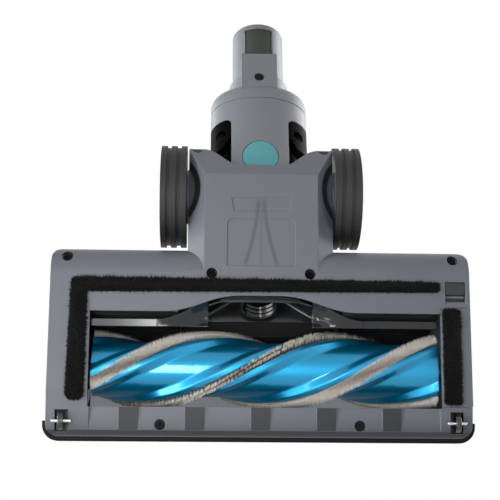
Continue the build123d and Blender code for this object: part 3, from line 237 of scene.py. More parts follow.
def carried(rings, tint=0.0, along=0.0):
    """Profile carried along a path as mesh arrays: rings is steps by corners by 3, closed at both ends.

    The corners of each ring run anticlockwise seen from the path's end.
    """
    steps, width = rings.shape[:2]
    index = np.arange(steps * width).reshape(steps, width)
    near, far = index[:-1], index[1:]
    sides = np.stack([near, np.roll(near, -1, axis=1), np.roll(far, -1, axis=1), far], axis=-1)
    return {
        "points": rings.reshape(-1, 3),
        "corners": np.concatenate([sides.reshape(-1), index[0][::-1], index[-1]]),
        "counts": np.concatenate([np.full((steps - 1) * width, 4), [width, width]]),
        "tint": np.full(steps * width, tint),
        "along": np.full(steps * width, along),
    }


def tube_wall(middle, radius, wall, first, second, sides):
    """Round wall along a middle line as mesh arrays.

    It runs out at the radius and back at the radius less the wall, and its last ring joins its first. A
    ring's corner is middle + radius (cos first + sin second).
    """
    middle, first = (np.concatenate([row, row[::-1]]) for row in (middle, first))
    radius = np.concatenate([radius, (radius - wall)[::-1]])
    turn = np.arange(sides) * 2 * np.pi / sides
    rings = middle[:, None] + radius[:, None, None] * (
        np.cos(turn)[None, :, None] * first[:, None] + np.sin(turn)[None, :, None] * second
    )
    index = np.arange(len(rings) * sides).reshape(len(rings), sides)
    far = np.roll(index, -1, axis=0)
    corners = np.stack([index, np.roll(index, -1, axis=1), np.roll(far, -1, axis=1), far], axis=-1)
    return {"points": rings.reshape(-1, 3), "corners": corners.reshape(-1), "counts": np.full(index.size, 4)}


def helix(x, index):
    """Outward and sideways directions of one bristle strip at places along the roller.

    The strip's angle, from +Y towards +Z, falls by one turn for each lead, and the strips stand a third of
    a turn apart. The outward direction is (0, cos, sin) of that angle and the sideways one (0, -sin, cos).
    """
    angle = np.radians(-90 - 360 * (x - STIFF_CROSSING) / HELIX_LEAD + 120 * index)
    zero = np.zeros_like(angle)
    outward = np.stack([zero, np.cos(angle), np.sin(angle)], axis=-1)
    sideways = np.stack([zero, -np.sin(angle), np.cos(angle)], axis=-1)
    return outward, sideways


def on_strip(x, index, radius, side):
    """Points at one radius and sideways offset from a strip's middle line."""
    outward, sideways = helix(x, index)
    points = ROLLER_AXIS + outward * np.asarray(radius)[..., None] + sideways * np.asarray(side)[..., None]
    points[..., 0] = x
    return points


def strip_root(index, start, end):
    """Woven root of a strip that fills its groove: a low bar carried along the helix."""
    x = np.linspace(start, end, 160)
    half = STRIP_HALF * 0.97
    side = np.array([half, half, -half, -half])
    foot, top = GROOVE_FLOOR + 0.0002, LAND_RADIUS - 0.0008
    x, radius, side = np.broadcast_arrays(x[:, None], np.array([foot, top, top, foot]), side)
    return carried(on_strip(x, index, radius, side), tint=0.2)


def soft_strip(index, start, end, settings, rng):
    """Dense soft strip: hairs spread evenly over the strip, with a low crown across it.

    A hair's tip lies at the tip radius less a share of the square of its offset and a random shortfall, and
    stands twice as far out sideways as its root.
    """
    count = settings.soft_count
    x = rng.uniform(start + 0.0003, end - 0.0003, count)
    side = STRIP_HALF * 0.93 * rng.uniform(-1, 1, count)
    clump = np.sin(x * 2 * np.pi / 0.0017 + 3 * np.sin(x * 640))
    length = TIP_RADIUS - 0.0009 * (side / STRIP_HALF) ** 2 - 0.0006 * rng.uniform(0, 1, count) ** 2
    length = length - 0.00018 * (1 + clump)
    lean = rng.normal(0, 0.00022, count) + 0.00012 * clump
    tip_x = np.clip(x + lean, start + 0.0001, end - 0.0001)
    roots = on_strip(x, index, np.full(count, HAIR_ROOT), side)
    tips = on_strip(tip_x, index, length, side * 2.0 + rng.normal(0, 0.00022, count))
    sway = rng.normal(0, 0.00009, (count, 3))
    tint = np.clip(0.5 + 0.22 * rng.normal(size=count) + 0.12 * clump, 0, 1)
    return joined(
        strip_root(index, start, end),
        hairs(roots, tips, sway, settings.soft_radius, 0.5, tint),
    )


def stiff_strip(index, start, end, settings, rng):
    """Stiff strip: two rows of round tufts, set half a pitch apart, that fan out from their holes.

    A hair stands at the square root of a random number times the tuft's radius, and its tip at that offset
    times a fan factor.
    """
    half = settings.tuft_pitch / 2
    places = np.arange(start + half, end - half, settings.tuft_pitch)
    aside = np.full_like(places, 0.0014)
    rows = np.concatenate([np.stack([places, -aside], 1), np.stack([places + half, aside], 1)])
    rows = rows[rows[:, 0] < end - 0.0008]
    per_tuft = settings.tuft_hairs
    spot = np.repeat(rows, per_tuft, axis=0)
    count = len(spot)
    distance = 0.00072 * np.sqrt(rng.uniform(0, 1, count))
    turn = rng.uniform(0, 2 * np.pi, count)
    offset = np.stack([distance * np.cos(turn), distance * np.sin(turn)], 1)
    tuft_lean = np.repeat(rng.normal(0, 0.00035, (len(rows), 2)), per_tuft, axis=0)
    fan = 1.5 * offset + tuft_lean + rng.normal(0, 0.00012, (count, 2))
    shortfall = np.repeat(rng.uniform(0, 0.0005, len(rows)), per_tuft)
    length = TIP_RADIUS - shortfall - rng.uniform(0, 0.00035, count)
    root_x = spot[:, 0] + offset[:, 0]
    tip_x = np.clip(spot[:, 0] + fan[:, 0], start + 0.0001, end - 0.0001)
    roots = on_strip(root_x, index, np.full(count, HAIR_ROOT), spot[:, 1] + offset[:, 1])
    tips = on_strip(tip_x, index, length, spot[:, 1] + fan[:, 1])
    tuft_tint = np.repeat(rng.uniform(0.25, 0.75, len(rows)), per_tuft)
    tint = np.clip(tuft_tint + rng.normal(0, 0.16, count), 0, 1)
    return joined(
        strip_root(index, start, end),
        hairs(roots, tips, np.zeros((count, 3)), settings.stiff_radius, 0.35, tint),
    )


def rounded_distance(place, middle, half, corner):
    """Distance outside a rounded rectangle, below zero inside it, and the way out.

    With q the offset from the middle, without its sign, less the half size, plus the corner's radius, the
    distance is the length of q's positive part plus its larger part below zero, less the radius.
    """
    offset = place - middle
    q = np.abs(offset) - half + corner
    beyond = np.maximum(q, 0)
    distance = np.linalg.norm(beyond, axis=1) + np.minimum(q.max(axis=1), 0) - corner
    nearest = np.where(q >= q.max(axis=1, keepdims=True), 1.0, 0.0)
    way = np.where(q.min(axis=1, keepdims=True) > 0, beyond, nearest)
    way = way / np.maximum(np.linalg.norm(way, axis=1, keepdims=True), 1e-9)
    return distance, way * np.sign(offset)


def lint_strip(low, high, corner, fringe, settings, rng):
    """Lint strip: a thin backing and a dense short pile that hangs from it towards the floor.

    Roots are spread evenly over a rounded rectangle whose rim wavers along two sines. A tip hangs at the
    strip's lowest level plus a random shortfall, and leans along two crossing sine waves over the strip, and
    outwards near its rim by a length that falls off with the distance from the rim, and that is longer on the
    rear side by the fringe.
    """
    size = high - low
    middle = (low + high)[:2] / 2
    half = size[:2] / 2
    backing = high[2] - 0.0006
    turn = (np.arange(40) + 0.5) * 2 * np.pi / 40
    round_plan = np.stack([np.cos(turn), np.sin(turn)], axis=1)
    plan = middle + np.sign(round_plan) * (half - corner) + round_plan * (corner - 0.0004)
    count = int(size[0] * size[1] * 1e6 * settings.pile_density)
    place = low[:2] + rng.uniform(0, 1, (count, 2)) * size[:2]
    distance, way = rounded_distance(place, middle, half, corner)
    waver = np.sin(place[:, 0] * 2300 + 2 * np.sin(place[:, 1] * 900)) * np.sin(place[:, 1] * 2100 + 1.3)
    inside = distance + 0.00025 * (1 + waver) < 0
    place, distance, way, waver = place[inside], distance[inside], way[inside], waver[inside]
    count = len(place)
    wave = np.stack(
        [
            np.sin(place[:, 0] * 2900 + 2.1 * np.sin(place[:, 1] * 1900)),
            np.sin(place[:, 1] * 2600 + 1.7 * np.sin(place[:, 0] * 1500)),
        ],
        axis=1,
    )
    slow = np.sin(place[:, 0] * 310 + 1.7 * np.sin(place[:, 0] * 133)) * np.cos(place[:, 1] * 270)
    reach = 0.0011 + 0.0006 * waver + 0.0005 * slow + 0.0004 * rng.normal(size=count)
    reach = reach * np.where(way[:, 1] > 0.5, 1 + fringe, 1)
    rim = np.exp(distance / 0.0008) * np.clip(reach, 0, 0.0034)
    lean = 0.00030 * wave + rng.normal(0, 0.00028, (count, 2)) + rim[:, None] * way
    drop = low[2] + 0.0007 * rng.uniform(0, 1, count) ** 1.5 + 0.00015 * (1 + wave[:, 0] * wave[:, 1])
    drop = drop + 0.0005 * np.exp(distance / 0.0006)
    roots = np.column_stack([place, np.full(count, backing + 0.0001)])
    tips = np.column_stack([place + lean, drop])
    tint = np.clip(0.45 + 0.25 * rng.normal(size=count) + 0.15 * wave[:, 1], 0, 1)
    return joined(prism(plan, backing, high[2]), spikes(roots, tips, settings.pile_radius, tint))


def hand_laid(points, low, high, across, start, end):
    """Points of a strip whose two long edges are moved across it.

    The low and the high edge each move by a shift that passes evenly from its start along the strip to its
    end, and a point between them by its share of both.
    """
    size = high - low
    along = (points[:, 1 - across] - low[1 - across]) / size[1 - across]
    share = (points[:, across] - low[across]) / size[across]
    edges = np.asarray(start) + along[:, None] * (np.asarray(end) - np.asarray(start))
    points[:, across] += edges[:, 0] * (1 - share) + edges[:, 1] * share
    return points


def hose_line(distance, start_y):
    """Point and slope of the hose's middle line at distances along it.

    It runs level along +Y, turns up through the neck's tilt on one arc and runs on along the neck.
    """
    straight = HOSE_CORNER - HOSE_TANGENT - start_y
    slope = np.clip((distance - straight) / HOSE_BEND, 0, NECK_TILT)
    past = np.clip(distance - straight - HOSE_BEND * NECK_TILT, 0, None)
    y = start_y + np.minimum(distance, straight) + HOSE_BEND * np.sin(slope) + past * NECK_WAY[1]
    z = HOSE_LEVEL + HOSE_BEND * (1 - np.cos(slope)) + past * NECK_WAY[2]
    return np.stack([np.zeros_like(y), y, z], axis=-1), slope


def ribbed_hose(start_y):
    """Corrugated hose: a ring whose radius rises and falls with the distance along the hose.

    The outside radius is the root radius plus the rib height times a flattened cosine of the distance over
    the pitch. The inside runs back at a smaller radius, so the wall is closed at both ends.
    """
    root, rib, wall, pitch, flat = 0.0121, 0.0011, 0.0011, 0.0040, 2.2
    straight = HOSE_CORNER - HOSE_TANGENT - start_y
    rest = math.hypot(HOSE_END[1] - HOSE_CORNER, HOSE_END[2] - HOSE_LEVEL) - HOSE_TANGENT
    distance = np.linspace(0, straight + HOSE_BEND * NECK_TILT + rest, 300)
    wave = 0.5 + 0.5 * np.tanh(flat * np.cos(2 * np.pi * distance / pitch)) / math.tanh(flat)
    middle, slope = hose_line(distance, start_y)
    up = np.stack([np.zeros_like(slope), -np.sin(slope), np.cos(slope)], axis=-1)
    return tube_wall(middle, root + rib * wave, wall, up, np.array([1.0, 0, 0]), 48)


def notch_edge(x):
    """Rear edge of the roller window at places along it, from the roller's axis.

    Two arcs of one radius, one that rises from the straight edge and one that falls from the notch's top,
    meet on a straight slope.
    """
    side = np.abs(x)
    radius, reach, fall, straight = 0.060, 0.0204, 0.00358, 0.0328
    foot, crest = 0.0591, 0.0110
    slope, slope_foot, slope_length = 0.362, 0.0387, 0.0073
    rise = radius - np.sqrt(radius**2 - np.clip(foot - side, 0, reach) ** 2)
    drop = radius - np.sqrt(radius**2 - np.clip(side - crest, 0, reach) ** 2)
    return straight + rise + slope * np.clip(slope_foot - side, 0, slope_length) + fall - drop


def duct_flare(side):
    """Flared side of the duct's mouth, which carries the chamber's ledge on to the notch in the sole.

    Its rear edge leaves the ledge's and passes along a smooth step to the notch's edge. Across it, the height
    falls evenly from front to rear, plus a sine that swells in past its first part. The same line, raised by
    the wall, closes it above.
    """
    outer, length, front, ledge = 0.0620, 0.0310, 0.0246, 0.0291
    overlap, height, wall, hump = 0.0006, 0.01152, 0.0009, 0.0040
    along = np.linspace(0, 1, 33)[:, None]
    across = np.linspace(0, 1, 25)[None, :]
    x = outer - length * along
    step = np.clip(along / 0.8, 0, 1)
    step = step**2 * (3 - 2 * step)
    rear = ledge + step * (notch_edge(x) + overlap - ledge)
    y = front + across * (rear - front)
    swell = np.clip((along - 0.42) / 0.5, 0, 1)
    swell = hump * swell**2 * (3 - 2 * swell)
    z = height - (0.0004 + 0.0046 * step) * across + swell * np.sin(np.pi * across)
    under = np.stack([np.broadcast_to(side * x, y.shape), ROLLER_AXIS[1] + y, z], axis=-1)
    over = under + np.array([0, 0, wall])
    ring = (under[:, ::-1], over) if side > 0 else (under, over[:, ::-1])
    return carried(np.concatenate(ring, axis=1))


def duct_roof(rear):
    """Thin roof from the chamber's upper edge to the duct's mouth: one slanting profile carried across."""
    front, half = 0.0223, 0.0475
    profile = np.array([[front, 0.0383], [rear, 0.0370], [rear, 0.0378], [front, 0.0389]])
    profile[:, 0] += ROLLER_AXIS[1]
    return carried(np.stack([np.insert(profile, 0, x, axis=1) for x in (-half, half)]))


def ribbed_cuff():
    """Short ribbed cuff where the hose meets the duct: a wavy line turned round a slanting axis.

    Its radius is the root plus the rib times the squared sine of the distance over the pitch. The line runs
    back inside, so the wall is closed.
    """
    root, rib, wall, pitch, length = 0.0108, 0.0014, 0.0010, 0.0034, 0.0102
    distance = np.linspace(0, length, 46)
    radius = root + rib * np.sin(np.pi * distance / pitch) ** 2
    axis = np.array([0, -0.80, -0.60])
    beside = np.array([1.0, 0, 0])
    middle = np.array([0, ROLLER_AXIS[1] + 0.0465, 0.0270]) + distance[:, None] * axis
    first = np.broadcast_to(beside, middle.shape)
    return tube_wall(middle, radius, wall, first, np.cross(axis, beside), 56)


def prism(plan, low, high):
    """Upright prism on a plan that runs anticlockwise seen from above."""
    return carried(np.stack([np.insert(plan, 2, level, axis=1) for level in (low, high)]))


def ear_recess(side):
    """Floor of the half-round recess in one ear, and the rim that closes it behind, as two prisms."""
    middle = np.array([side * 0.0389, ROLLER_AXIS[1] + 0.1354])
    radius, half, inner, outer = 0.00325, 0.0032, 0.0009, 0.0003
    floor, rim_edge, top = 0.0146, 0.0132, 0.0162
    turn = np.linspace(np.pi, 2 * np.pi, 15)
    half_disc = middle + radius * np.stack([np.cos(turn), np.sin(turn)], axis=1) - [0, outer]
    rim = middle + np.array([[-half, -inner], [half, -inner], [half, -outer], [-half, -outer]])
    return prism(half_disc, floor, top), prism(rim, rim_edge, top)


def pad_foot():
    """Foot of the tube's flat pad, which runs on into the collar's round shoulder."""
    half, top, bottom = 0.0117, 0.010, 0.0199
    corners = ((-half, top), (half, top), (half, bottom), (-half, bottom))
    outline = np.array([[x, 0, 0] - depth * YAW_AXIS for x, depth in corners])
    return carried(np.stack([PITCH_AXIS + outline + reach * NECK_WAY for reach in (0.070, 0.0783)]))


# Shader groups


def new_group(name, inputs, outputs):
    """Empty shader group with named sockets. An input is a colour or a number, as its default is."""
    group = bpy.data.node_groups.new(name, "ShaderNodeTree")
    for key, value in inputs.items():
        kind = "NodeSocketColor" if isinstance(value, tuple) else "NodeSocketFloat"
        group.interface.new_socket(name=key, in_out="INPUT", socket_type=kind).default_value = value
    for key, kind in outputs.items():
        group.interface.new_socket(name=key, in_out="OUTPUT", socket_type=f"NodeSocket{kind}")
    return group, group.nodes.new("NodeGroupInput").outputs, group.nodes.new("NodeGroupOutput").inputs


def node(tree, kind, links=None, **settings):
    """Node with settings, its inputs given as values or as sockets to link from."""
    made = tree.nodes.new(kind)
    for key, value in settings.items():
        setattr(made, key, value)
    for key, value in (links or {}).items():
        if isinstance(value, bpy.types.NodeSocket):
            tree.links.new(value, made.inputs[key])
        else:
            made.inputs[key].default_value = value
    return made


def math_node(tree, operation, first, second=0.0):
    """Result of one sum on two values or sockets."""
    return node(tree, "ShaderNodeMath", {0: first, 1: second}, operation=operation).outputs[0]


def product(tree, first, *others):
    """Product of several values or sockets."""
    for other in others:
        first = math_node(tree, "MULTIPLY", first, other)
    return first


def distance_from(tree, value, middle):
    """How far a value lies from a middle, without its sign."""
    return math_node(tree, "ABSOLUTE", math_node(tree, "SUBTRACT", value, middle))


def within(tree, value, middle, reach):
    """One where a value lies within a reach of a middle, and zero elsewhere."""
    return math_node(tree, "LESS_THAN", distance_from(tree, value, middle), reach)


def ramp(tree, value, start, end, low=0.0, high=1.0, kind="LINEAR"):
    """Passes from low to high as a value passes from start to end, and is held past both."""
    links = {"Value": value, "From Min": start, "From Max": end, "To Min": low, "To Max": high}
    return node(tree, "ShaderNodeMapRange", links, interpolation_type=kind).outputs[0]


def mix_colour(tree, factor, first, second, blend="MIX"):
    """Two colours mixed by a factor."""
    links = {0: factor, 6: first, 7: second}
    return node(tree, "ShaderNodeMix", links, data_type="RGBA", blend_type=blend).outputs[2]


def object_place(tree):
    """Place on the object, in its own coordinates."""
    return tree.nodes.new("ShaderNodeTexCoord").outputs["Object"]


def noise(tree, coordinates, scale, detail=2.0, rough=0.5):
    """Value of a noise between about 0 and 1."""
    links = {"Vector": coordinates, "Scale": scale, "Detail": detail, "Roughness": rough}
    return node(tree, "ShaderNodeTexNoise", links).outputs["Fac"]


def moulded_group():
    """Moulded plastic: slow colour drift, fine grain, and a painted highlight on edges that catch the light."""
    group, given, out = new_group(
        "moulded_surface",
        {
            "Colour": (0.2, 0.2, 0.2, 1),
            "Edge Colour": (0.4, 0.4, 0.4, 1),
            "Drift": 0.1,
            "Edge": 0.2,
            "Edge Radius": 0.0006,
            "Rough": 0.4,
            "Rough Spread": 0.1,
            "Grain Scale": 2500.0,
            "Grain Depth": 0.1,
        },
        {"Color": "Color", "Roughness": "Float", "Normal": "Vector"},
    )
    place = object_place(group)
    drift = noise(group, place, 28.0, 3.0)
    speck = noise(group, place, 900.0, 2.0, 0.6)
    grey = math_node(group, "ADD", product(group, drift, 0.75), product(group, speck, 0.25))
    shade = ramp(group, grey, 0.3, 0.7, 0.55, 1.3)
    drifted = mix_colour(group, given["Drift"], given["Colour"], shade, "MULTIPLY")
    # painted highlight: where the bevel turns the normal, the colour passes into the lighter edge colour
    true_normal = group.nodes.new("ShaderNodeNewGeometry").outputs["Normal"]
    bevel = node(group, "ShaderNodeBevel", {"Radius": given["Edge Radius"]}, samples=6).outputs[0]
    dot = node(group, "ShaderNodeVectorMath", {0: true_normal, 1: bevel}, operation="DOT_PRODUCT")
    turned = ramp(group, dot.outputs["Value"], 0.995, 0.8)
    painted_highlight = product(group, turned, given["Edge"], math_node(group, "ADD", speck, 0.45))
    group.links.new(mix_colour(group, painted_highlight, drifted, given["Edge Colour"]), out["Color"])
    patch = noise(group, place, 75.0, 3.0, 0.6)
    spread = product(group, math_node(group, "SUBTRACT", patch, 0.5), given["Rough Spread"])
    group.links.new(math_node(group, "ADD", given["Rough"], spread), out["Roughness"])
    grain = noise(group, place, given["Grain Scale"], 3.0, 0.6)
    bump = {"Strength": given["Grain Depth"], "Distance": 0.0002, "Height": grain, "Normal": bevel}
    group.links.new(node(group, "ShaderNodeBump", bump).outputs[0], out["Normal"])
    return group


def marks_and_shade_group():
    """Marks on the shells: flow lines on the panel, and painted shade on the ramps of the lip's tabs, round the
    wheel scoops and at the lip's rim.

    The flow lines stand each side of the middle at a distance that grows with the share of the way from the
    gate to the window, to the power 1.7. The ramps, painted darker as shade, repeat at the tabs' pitch along the
    lip. The scoops are a ring of painted shade round the wheels' axle on the cheeks. The rim is painted shade: a
    line before the lip that fades forwards, a slope that darkens towards it, and the pockets of the front wheels.
    """
    group, given, out = new_group(
        "mould_marks",
        {
            "Gate": 0.0,
            "Foot": 0.0,
            "Spread": 0.009,
            "Lip Start": 0.0,
            "Lip End": 0.0,
            "Tab Pitch": 0.05,
            "Tab Width": 0.02,
            "Axle": 0.0,
            "Axle Height": 0.032,
            "Scoop": 0.0265,
            "Wheel": 0.1158,
        },
        {"Flow": "Float", "Ramp": "Float", "Scoop": "Float", "Rim": "Float"},
    )
    calc, times, rise = (partial(kind, group) for kind in (math_node, product, ramp))
    off_from, inside = (partial(kind, group) for kind in (distance_from, within))
    x, y, z = node(group, "ShaderNodeSeparateXYZ", {0: object_place(group)}).outputs
    side = calc("ABSOLUTE", x)

    way = rise(y, given["Gate"], given["Foot"])
    fan = times(calc("POWER", way, 1.7), given["Spread"])
    gap = off_from(side, calc("ADD", fan, 0.0016))
    line = rise(gap, 0.0022, 0.0, kind="SMOOTHSTEP")
    line = calc("MAXIMUM", line, rise(side, 0.0012, 0.0, high=0.5))
    ends = times(rise(way, 0.0, 0.08), rise(way, 1.0, 0.94))
    sole = rise(z, 0.0055, 0.0045)
    group.links.new(times(line, ends, sole), out["Flow"])

    # painted shade: the ramps of the lip's tabs
    step = calc("DIVIDE", x, given["Tab Pitch"])
    off = off_from(step, calc("ROUND", step))
    off = times(off, given["Tab Pitch"])
    tab = calc("LESS_THAN", off, times(given["Tab Width"], 0.5))
    behind = calc("GREATER_THAN", y, given["Lip Start"])
    ahead = calc("LESS_THAN", y, given["Lip End"])
    between_wheels = calc("LESS_THAN", side, 0.1)
    group.links.new(times(tab, behind, ahead, between_wheels), out["Ramp"])

    # painted shade: a ring on the cheeks round the wheels' axle, standing in for a scoop's shaded inside
    back = calc("SUBTRACT", y, given["Axle"])
    below = calc("SUBTRACT", z, given["Axle Height"])
    square = calc("ADD", times(back, back), times(below, below))
    past = calc("SUBTRACT", given["Scoop"], calc("SQRT", square))
    ring = times(rise(past, 0.0, 0.0004), rise(past, 0.0045, 0.0030))
    cheek = calc("GREATER_THAN", side, 0.0343)
    group.links.new(times(ring, cheek), out["Scoop"])

    # painted shade: a dark line before the lip, a slope that darkens towards it, and the front wheels' pockets
    before = calc("SUBTRACT", given["Lip Start"], y)
    deep = rise(before, 0.0, 0.0004)
    rim = times(deep, rise(before, 0.0042, 0.0024, 0.3, 0.8))
    slope = rise(y, given["Lip End"], given["Lip Start"])
    slope = times(slope, slope, 0.55, calc("SUBTRACT", 1.0, deep))
    under = calc("LESS_THAN", z, 0.0100)
    rim = times(calc("MAXIMUM", rim, slope), under)
    pocket = times(
        inside(side, given["Wheel"], 0.0040), inside(before, -0.0049, 0.0066), inside(z, 0.0080, 0.0044)
    )
    group.links.new(calc("MAXIMUM", rim, pocket), out["Rim"])
    return group


def hair_group():
    """Hairs: the root's colour passes into the tip's, and each hair has its own shade."""
    group, given, out = new_group(
        "hair_shade",
        {"Root": (0.05, 0.05, 0.05, 1), "Tip": (0.5, 0.45, 0.4, 1), "Spread": 0.5},
        {"Color": "Color", "Roughness": "Float"},
    )
    along, tint = (
        node(group, "ShaderNodeAttribute", attribute_name=key).outputs["Fac"] for key in ("along", "tint")
    )
    patch = noise(group, object_place(group), 120.0, 2.0)
    base = mix_colour(group, ramp(group, along, 0.05, 0.8), given["Root"], given["Tip"])
    value = math_node(group, "ADD", product(group, tint, 0.8), product(group, patch, 0.4))
    shade = ramp(group, value, 0.2, 1.0, 0.5, 1.35)
    group.links.new(mix_colour(group, given["Spread"], base, shade, "MULTIPLY"), out["Color"])
    group.links.new(ramp(group, tint, 0.0, 1.0, 0.5, 0.8), out["Roughness"])
    return group


def principled(material):
    """The material's own shader."""
    return material.node_tree.nodes["Principled BSDF"]


def new_material(name, sockets=None):
    """Node material whose shader has plain values on its own sockets."""
    material = bpy.data.materials.new(name)
    material.use_nodes = True
    shader = principled(material)
    for key, value in (sockets or {}).items():
        shader.inputs[key].default_value = value
    return material


def grouped(name, group, values, sockets=None):
    """Material whose shader takes what a shader group puts out, and plain values on other sockets."""
    material = new_material(name, sockets)
    tree = material.node_tree
    made = node(tree, "ShaderNodeGroup", values, node_tree=bpy.data.node_groups[group], name=group)
    for given in made.outputs:
        key = "Base Color" if given.name == "Color" else given.name
        tree.links.new(given, principled(material).inputs[key])
    return material


def shaded(colour, factor, lift=0.0):
    """Colour times a factor, plus a lift."""
    return (*(min(1.0, factor * c + lift) for c in colour[:3]), 1.0)


def moulded(name, colour, values, sockets=None):
    """Material on the moulded surface group."""
    # the edge colour, lighter than the colour, is a painted highlight on the edges
    colours = {"Colour": colour, "Edge Colour": shaded(colour, 1.6, 0.02)}
    return grouped(name, "moulded_surface", {**colours, **values}, sockets)


def hairy(name, root, tip, spread, sockets=None):
    """Material on the hair group."""
    return grouped(name, "hair_shade", {"Root": root, "Tip": tip, "Spread": spread}, sockets)


def clear_plastic(name):
    """Clear tinted plastic with faint smears in its gloss."""
    material = new_material(
        name, {"Transmission Weight": 1.0, "IOR": 1.49, "Base Color": (0.17, 0.19, 0.20, 1)}
    )
    tree = material.node_tree
    rough = ramp(tree, noise(tree, object_place(tree), 45.0, 4.0, 0.6), 0.35, 0.7, 0.04, 0.16)
    tree.links.new(rough, principled(material).inputs["Roughness"])
    return material


def dress(slot, material, *spared):
    """Puts a material on every CAD node of one slot but the spared ones."""
    for name, piece in NODES.items():
        if SLOT_OF[name] == slot and name not in spared:
            for place in piece.material_slots:
                place.material = material


def finish(slot, colour, values, sockets=None):
    """Moulded material under the slot's own name, put on all its CAD nodes."""
    material = moulded(slot, colour, values, sockets)
    dress(slot, material)
    return material


def seat(piece, body, slot, material, *nodes):
    """Puts a material on a new piece, lets it ride on a body and stand for CAD nodes."""
    piece.data.materials.append(material)
    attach(piece, body)
    if nodes:
        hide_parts(*nodes)


# Operators


class FLOORHEAD_OT_groups(bpy.types.Operator):
    """Builds the shader groups that the materials share"""

    bl_idname = "floor_head.groups"
    bl_label = "Shader groups"

    def execute(self, context):
        moulded_group()
        marks_and_shade_group()
        hair_group()
        return {"FINISHED"}


class FLOORHEAD_OT_shells(bpy.types.Operator):
    """Finishes the shells, the end cap, the latch, the visor and the bumper, and builds the ear recesses"""

    bl_idname = "floor_head.shells"
    bl_label = "Shells"

    def execute(self, context):
        shell = self.shell(context.scene.floor_head_colours.shell)
        dress("shell_plastic", shell)
        for place in NODES["latch_slider"].material_slots:
            place.material = self.latch()
        dress("clear_visor", clear_plastic("clear_visor"))
        soft = {"Drift": 0.2, "Edge": 0.2, "Rough": 0.5, "Grain Scale": 1800.0, "Grain Depth": 0.2}
        finish("bumper_rubber", linear(10, 10, 11), soft, {"Specular IOR Level": 0.1})
        floors, rims = zip(*(ear_recess(side) for side in (1, -1)))
        # painted shade: the recess floors are a darker grey than the shell
        shade = moulded("recess_plastic", linear(52, 54, 58), SATIN)
        for name, parts, material in (("ear_floors", floors, shade), ("ear_rims", rims, shell)):
            seat(mesh_object(name, joined(*parts), smooth=False), "head", "shell_plastic", material)
        return {"FINISHED"}

    def latch(self):
        """Dark plastic of the latch, darker on the step before the finger pad, with a painted highlight, a pale
        line, on the ridge.
        """
        dark, darker, painted_highlight = linear(40, 41, 44), linear(16, 17, 18), linear(112, 114, 118)
        material = moulded("latch_plastic", dark, SATIN, {"Specular IOR Level": 0.35})
        tree = material.node_tree
        along = node(tree, "ShaderNodeSeparateXYZ", {0: object_place(tree)}).outputs[1]
        edge = ROLLER_AXIS[1] + 0.0429
        colour = mix_colour(tree, ramp(tree, along, edge - 0.0003, edge), darker, dark)
        # painted highlight: a pale line along the ridge
        ridge = ramp(tree, distance_from(tree, along, edge + 0.0003), 0.0007, 0.0003)
        colour = mix_colour(tree, ridge, colour, painted_highlight)
        tree.links.new(colour, tree.nodes["moulded_surface"].inputs["Colour"])
        return material

    def shell(self, colour):
        """Satin grey plastic with the mould's flow marks, and painted shade on the tab ramps, the scoop rings, the
        lip's rim and the wheel pockets, mixed into its colour.
        """
        material = moulded("shell_plastic", colour, SATIN, {"Specular IOR Level": 0.3})
        tree = material.node_tree
        places = {"Gate": 0.1031, "Foot": 0.0600, "Lip Start": -0.0365, "Lip End": -0.0229}
        values = {key: ROLLER_AXIS[1] + place for key, place in places.items()}
        values |= {"Spread": 0.0085, "Tab Pitch": 0.0386, "Tab Width": 0.0112}
        values |= {"Axle": AXLE[1], "Axle Height": AXLE[2]}
        marks_and_shade = node(tree, "ShaderNodeGroup", values, node_tree=bpy.data.node_groups["mould_marks"])
        flow = product(tree, marks_and_shade.outputs["Flow"], 0.8)
        marked = mix_colour(tree, flow, tuple(colour), shaded(colour, 0.55))
        # painted shade: the tab ramps, the scoop ring, and the rim and pockets darken the colour
        for key, factor in (("Ramp", 0.20), ("Scoop", 0.10), ("Rim", 0.10)):
            marked = mix_colour(tree, marks_and_shade.outputs[key], marked, shaded(colour, factor))
        tree.links.new(marked, tree.nodes["moulded_surface"].inputs["Colour"])
        return material


class FLOORHEAD_OT_air_path(bpy.types.Operator):
    """Finishes the chamber and the duct, closes the duct's mouth, and builds the cuff and the ribbed hose"""

    bl_idname = "floor_head.air_path"
    bl_label = "Air path"

    def execute(self, context):
        gloss = {"Drift": 0.25, "Edge": 0.4, "Rough": 0.12, "Rough Spread": 0.08, "Grain Depth": 0.03}
        black = finish("chamber_plastic", linear(30, 31, 33), gloss, {"Specular IOR Level": 0.44})
        matt = {**gloss, "Edge": 0.2, "Rough": 0.6}
        dull = moulded("duct_roof_plastic", linear(9, 9, 10), matt, {"Specular IOR Level": 0.12})
        roof = duct_roof(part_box("suction_duct")[0][1] - ROLLER_AXIS[1] - 0.0001)
        seat(mesh_object("duct_roof", roof, smooth=False), "head", "chamber_plastic", dull)
        flares = joined(duct_flare(1), duct_flare(-1))
        seat(mesh_object("duct_flares", flares), "head", "chamber_plastic", black)
        seat(mesh_object("hose_cuff", ribbed_cuff()), "head", "chamber_plastic", black)
        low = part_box("flexible_hose")[0]
        hose = mesh_object("ribbed_hose", ribbed_hose(low[1]))
        ribbed = {"Drift": 0.3, "Edge": 0.5, "Rough": 0.34, "Rough Spread": 0.15, "Grain Depth": 0.06}
        hose.data.materials.append(moulded("hose_plastic", linear(44, 46, 49), ribbed))
        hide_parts("flexible_hose")
        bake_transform(hose)
        return {"FINISHED"}


